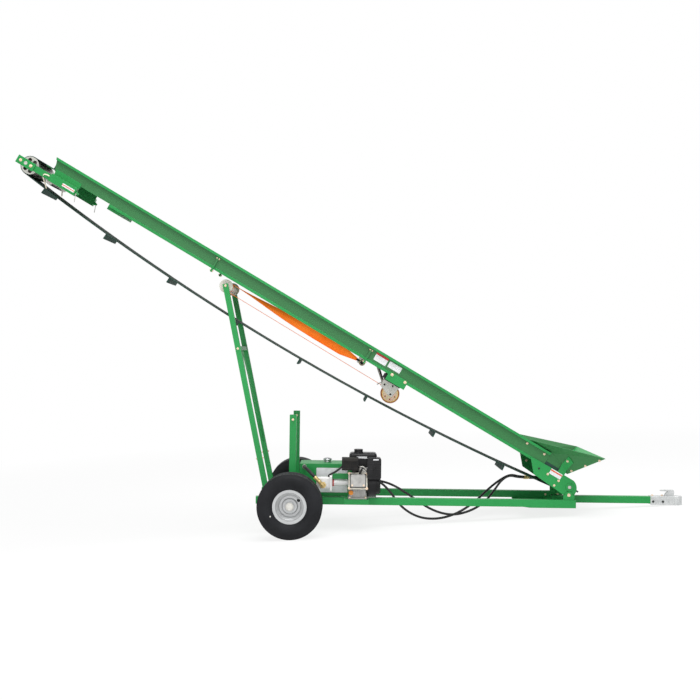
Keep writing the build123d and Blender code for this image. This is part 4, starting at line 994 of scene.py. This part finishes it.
strap = bmesh.new()
edge = strap.edges.new([strap.verts.new(spot) for spot in strap_ends(*run[0])])
for along in run[1:]:
    first = edge.verts[0]
    grown = bmesh.ops.extrude_edge_only(strap, edges=[edge])["geom"]
    verts = [item for item in grown if isinstance(item, bmesh.types.BMVert)]
    edge = next(
        item for item in grown
        if isinstance(item, bmesh.types.BMEdge) and all(vert in verts for vert in item.verts)
    )
    lead = next(vert for vert in edge.verts if any(side.other_vert(vert) == first for side in vert.link_edges))
    for vert, spot in zip((lead, edge.other_vert(lead)), strap_ends(*along)):
        vert.co = spot
strap_piece = piece("lift_strap_webbing", strap, strap_webbing, "boom")
strap_piece.data.shade_smooth()
thickness = strap_piece.modifiers.new("thickness", "SOLIDIFY")
thickness.thickness = strap_thick * MM
thickness.offset = 0
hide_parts("lift_strap")
hook_plate = mottled(
    "hook_plate", grain=(90, 4), ramp=(0.35, 0.7), tones=((0.26, 0.21, 0.10), (0.52, 0.46, 0.30)),
    rough=(0.35, 0.2), metallic=0.6,
)
hook_ring, hook_wire = 19, 4.6
stand = standing(on_boom(1752, 52, -10), NEAR)
wire_stand = stand @ Matrix.Translation((hook_ring * MM, 0, 0)) @ Matrix.Rotation(pi / 2, 4, "X")
hook = bmesh.new()
bmesh.ops.create_circle(hook, segments=12, radius=hook_wire * MM, matrix=wire_stand)
bmesh.ops.spin(
    hook, geom=hook.verts[:] + hook.edges[:], cent=stand.translation, axis=NEAR, angle=2 * pi, steps=36,
    use_merge=True,
)
bmesh.ops.recalc_face_normals(hook, faces=hook.faces[:])
smooth(piece("strap_hook", hook, hook_plate, "boom"))
# A black disc fills the hook's ring: painted shade, the dark of the hole through it.
pin = bmesh.new()
spun(pin, ((0, 8), (8, 8), (11, 5), (11, -3), (14, -4), (14, -6), (0, -6)), stand, 6)
piece("hook_pin", pin, heat_paint, "boom")
buckle = bmesh.new()
add_block(buckle, boom_place, (1776, 46, -12), (1800, 62, 2), 3)
piece("strap_buckle", buckle, heat_paint, "boom")


# The stage is a pale floor under soft light from above and in front, with the camera square to
# the machine's near side, rolled a little as the picture was. The floor and the sky show white.
floor_half = 60
floor_mesh = bpy.data.meshes.new("floor")
ground = bmesh.new()
bmesh.ops.create_grid(ground, x_segments=1, y_segments=1, size=floor_half)
ground.to_mesh(floor_mesh)
ground.free()
floor = bpy.data.objects.new("floor", floor_mesh)
bpy.context.collection.objects.link(floor)
floor_white, place, shader = new_finish("floor_white", specular=0.1)
feed(shader, Base_Color=place.noise(3, 2).tint((0.93, 0.93, 0.93, 1), (0.96, 0.96, 0.96, 1)))
shader.inputs["Roughness"].default_value = 0.8
floor_mesh.materials.append(floor_white)
glow = place.node("ShaderNodeEmission", (), {"Color": (1, 1, 1, 1), "Strength": 1.0})
white_share = 0.82 + place.length().step(3.2, 8) * 0.18
shown = {0: place.seen("Is Glossy Ray") * white_share, 1: Wire(shader.outputs[0]), 2: glow}
lit = place.node("ShaderNodeMixShader", (), shown)
floor_white.node_tree.links.new(lit.socket, floor_white.node_tree.nodes["Material Output"].inputs["Surface"])

ambient = 0.50
sky = bpy.data.worlds.new("studio")
bpy.context.scene.world = sky
sky.use_nodes = True
backdrop = sky.node_tree.nodes["Background"]
backdrop.inputs["Color"].default_value = (1, 1, 1, 1)
sky_tree = Wire(backdrop.outputs[0])
in_view = sky_tree.seen("Is Glossy Ray", "Is Transmission Ray").step(0, 1)
sky.node_tree.links.new((in_view * (1 - ambient) + ambient).socket, backdrop.inputs["Strength"])
for name, spot, aim, power, size in (
    ("top_light", (0.5, -1.5, 6.5), (0, 0, 0.8), 460, 6),
    ("front_light", (-1.5, -8.0, 2.0), (0, 0, 1.0), 115, 5),
):
    light = bpy.data.lights.new(name, "AREA")
    light.energy, light.size = power, size
    lamp = bpy.data.objects.new(name, light)
    lamp.location = spot
    lamp.rotation_euler = (Vector(aim) - Vector(spot)).to_track_quat("-Z", "Y").to_euler()
    bpy.context.collection.objects.link(lamp)

picture_side, picture_roll = 700, nose_dip - 0.0122
camera_data = bpy.data.cameras.new("side_camera")
camera_data.lens = 55.2
camera_data.sensor_width = 36
camera_data.shift_x = -3 / picture_side
camera_data.shift_y = -1 / picture_side
camera = bpy.data.objects.new("side_camera", camera_data)
camera.matrix_world = (
    Matrix.Translation(on_frame(422, -7940, 1087))
    @ Matrix.Rotation(picture_roll, 4, "Y")
    @ Matrix.Rotation(pi / 2, 4, "X")
)
bpy.context.collection.objects.link(camera)
bpy.context.scene.camera = camera
bpy.context.scene.view_settings.view_transform = "Standard"
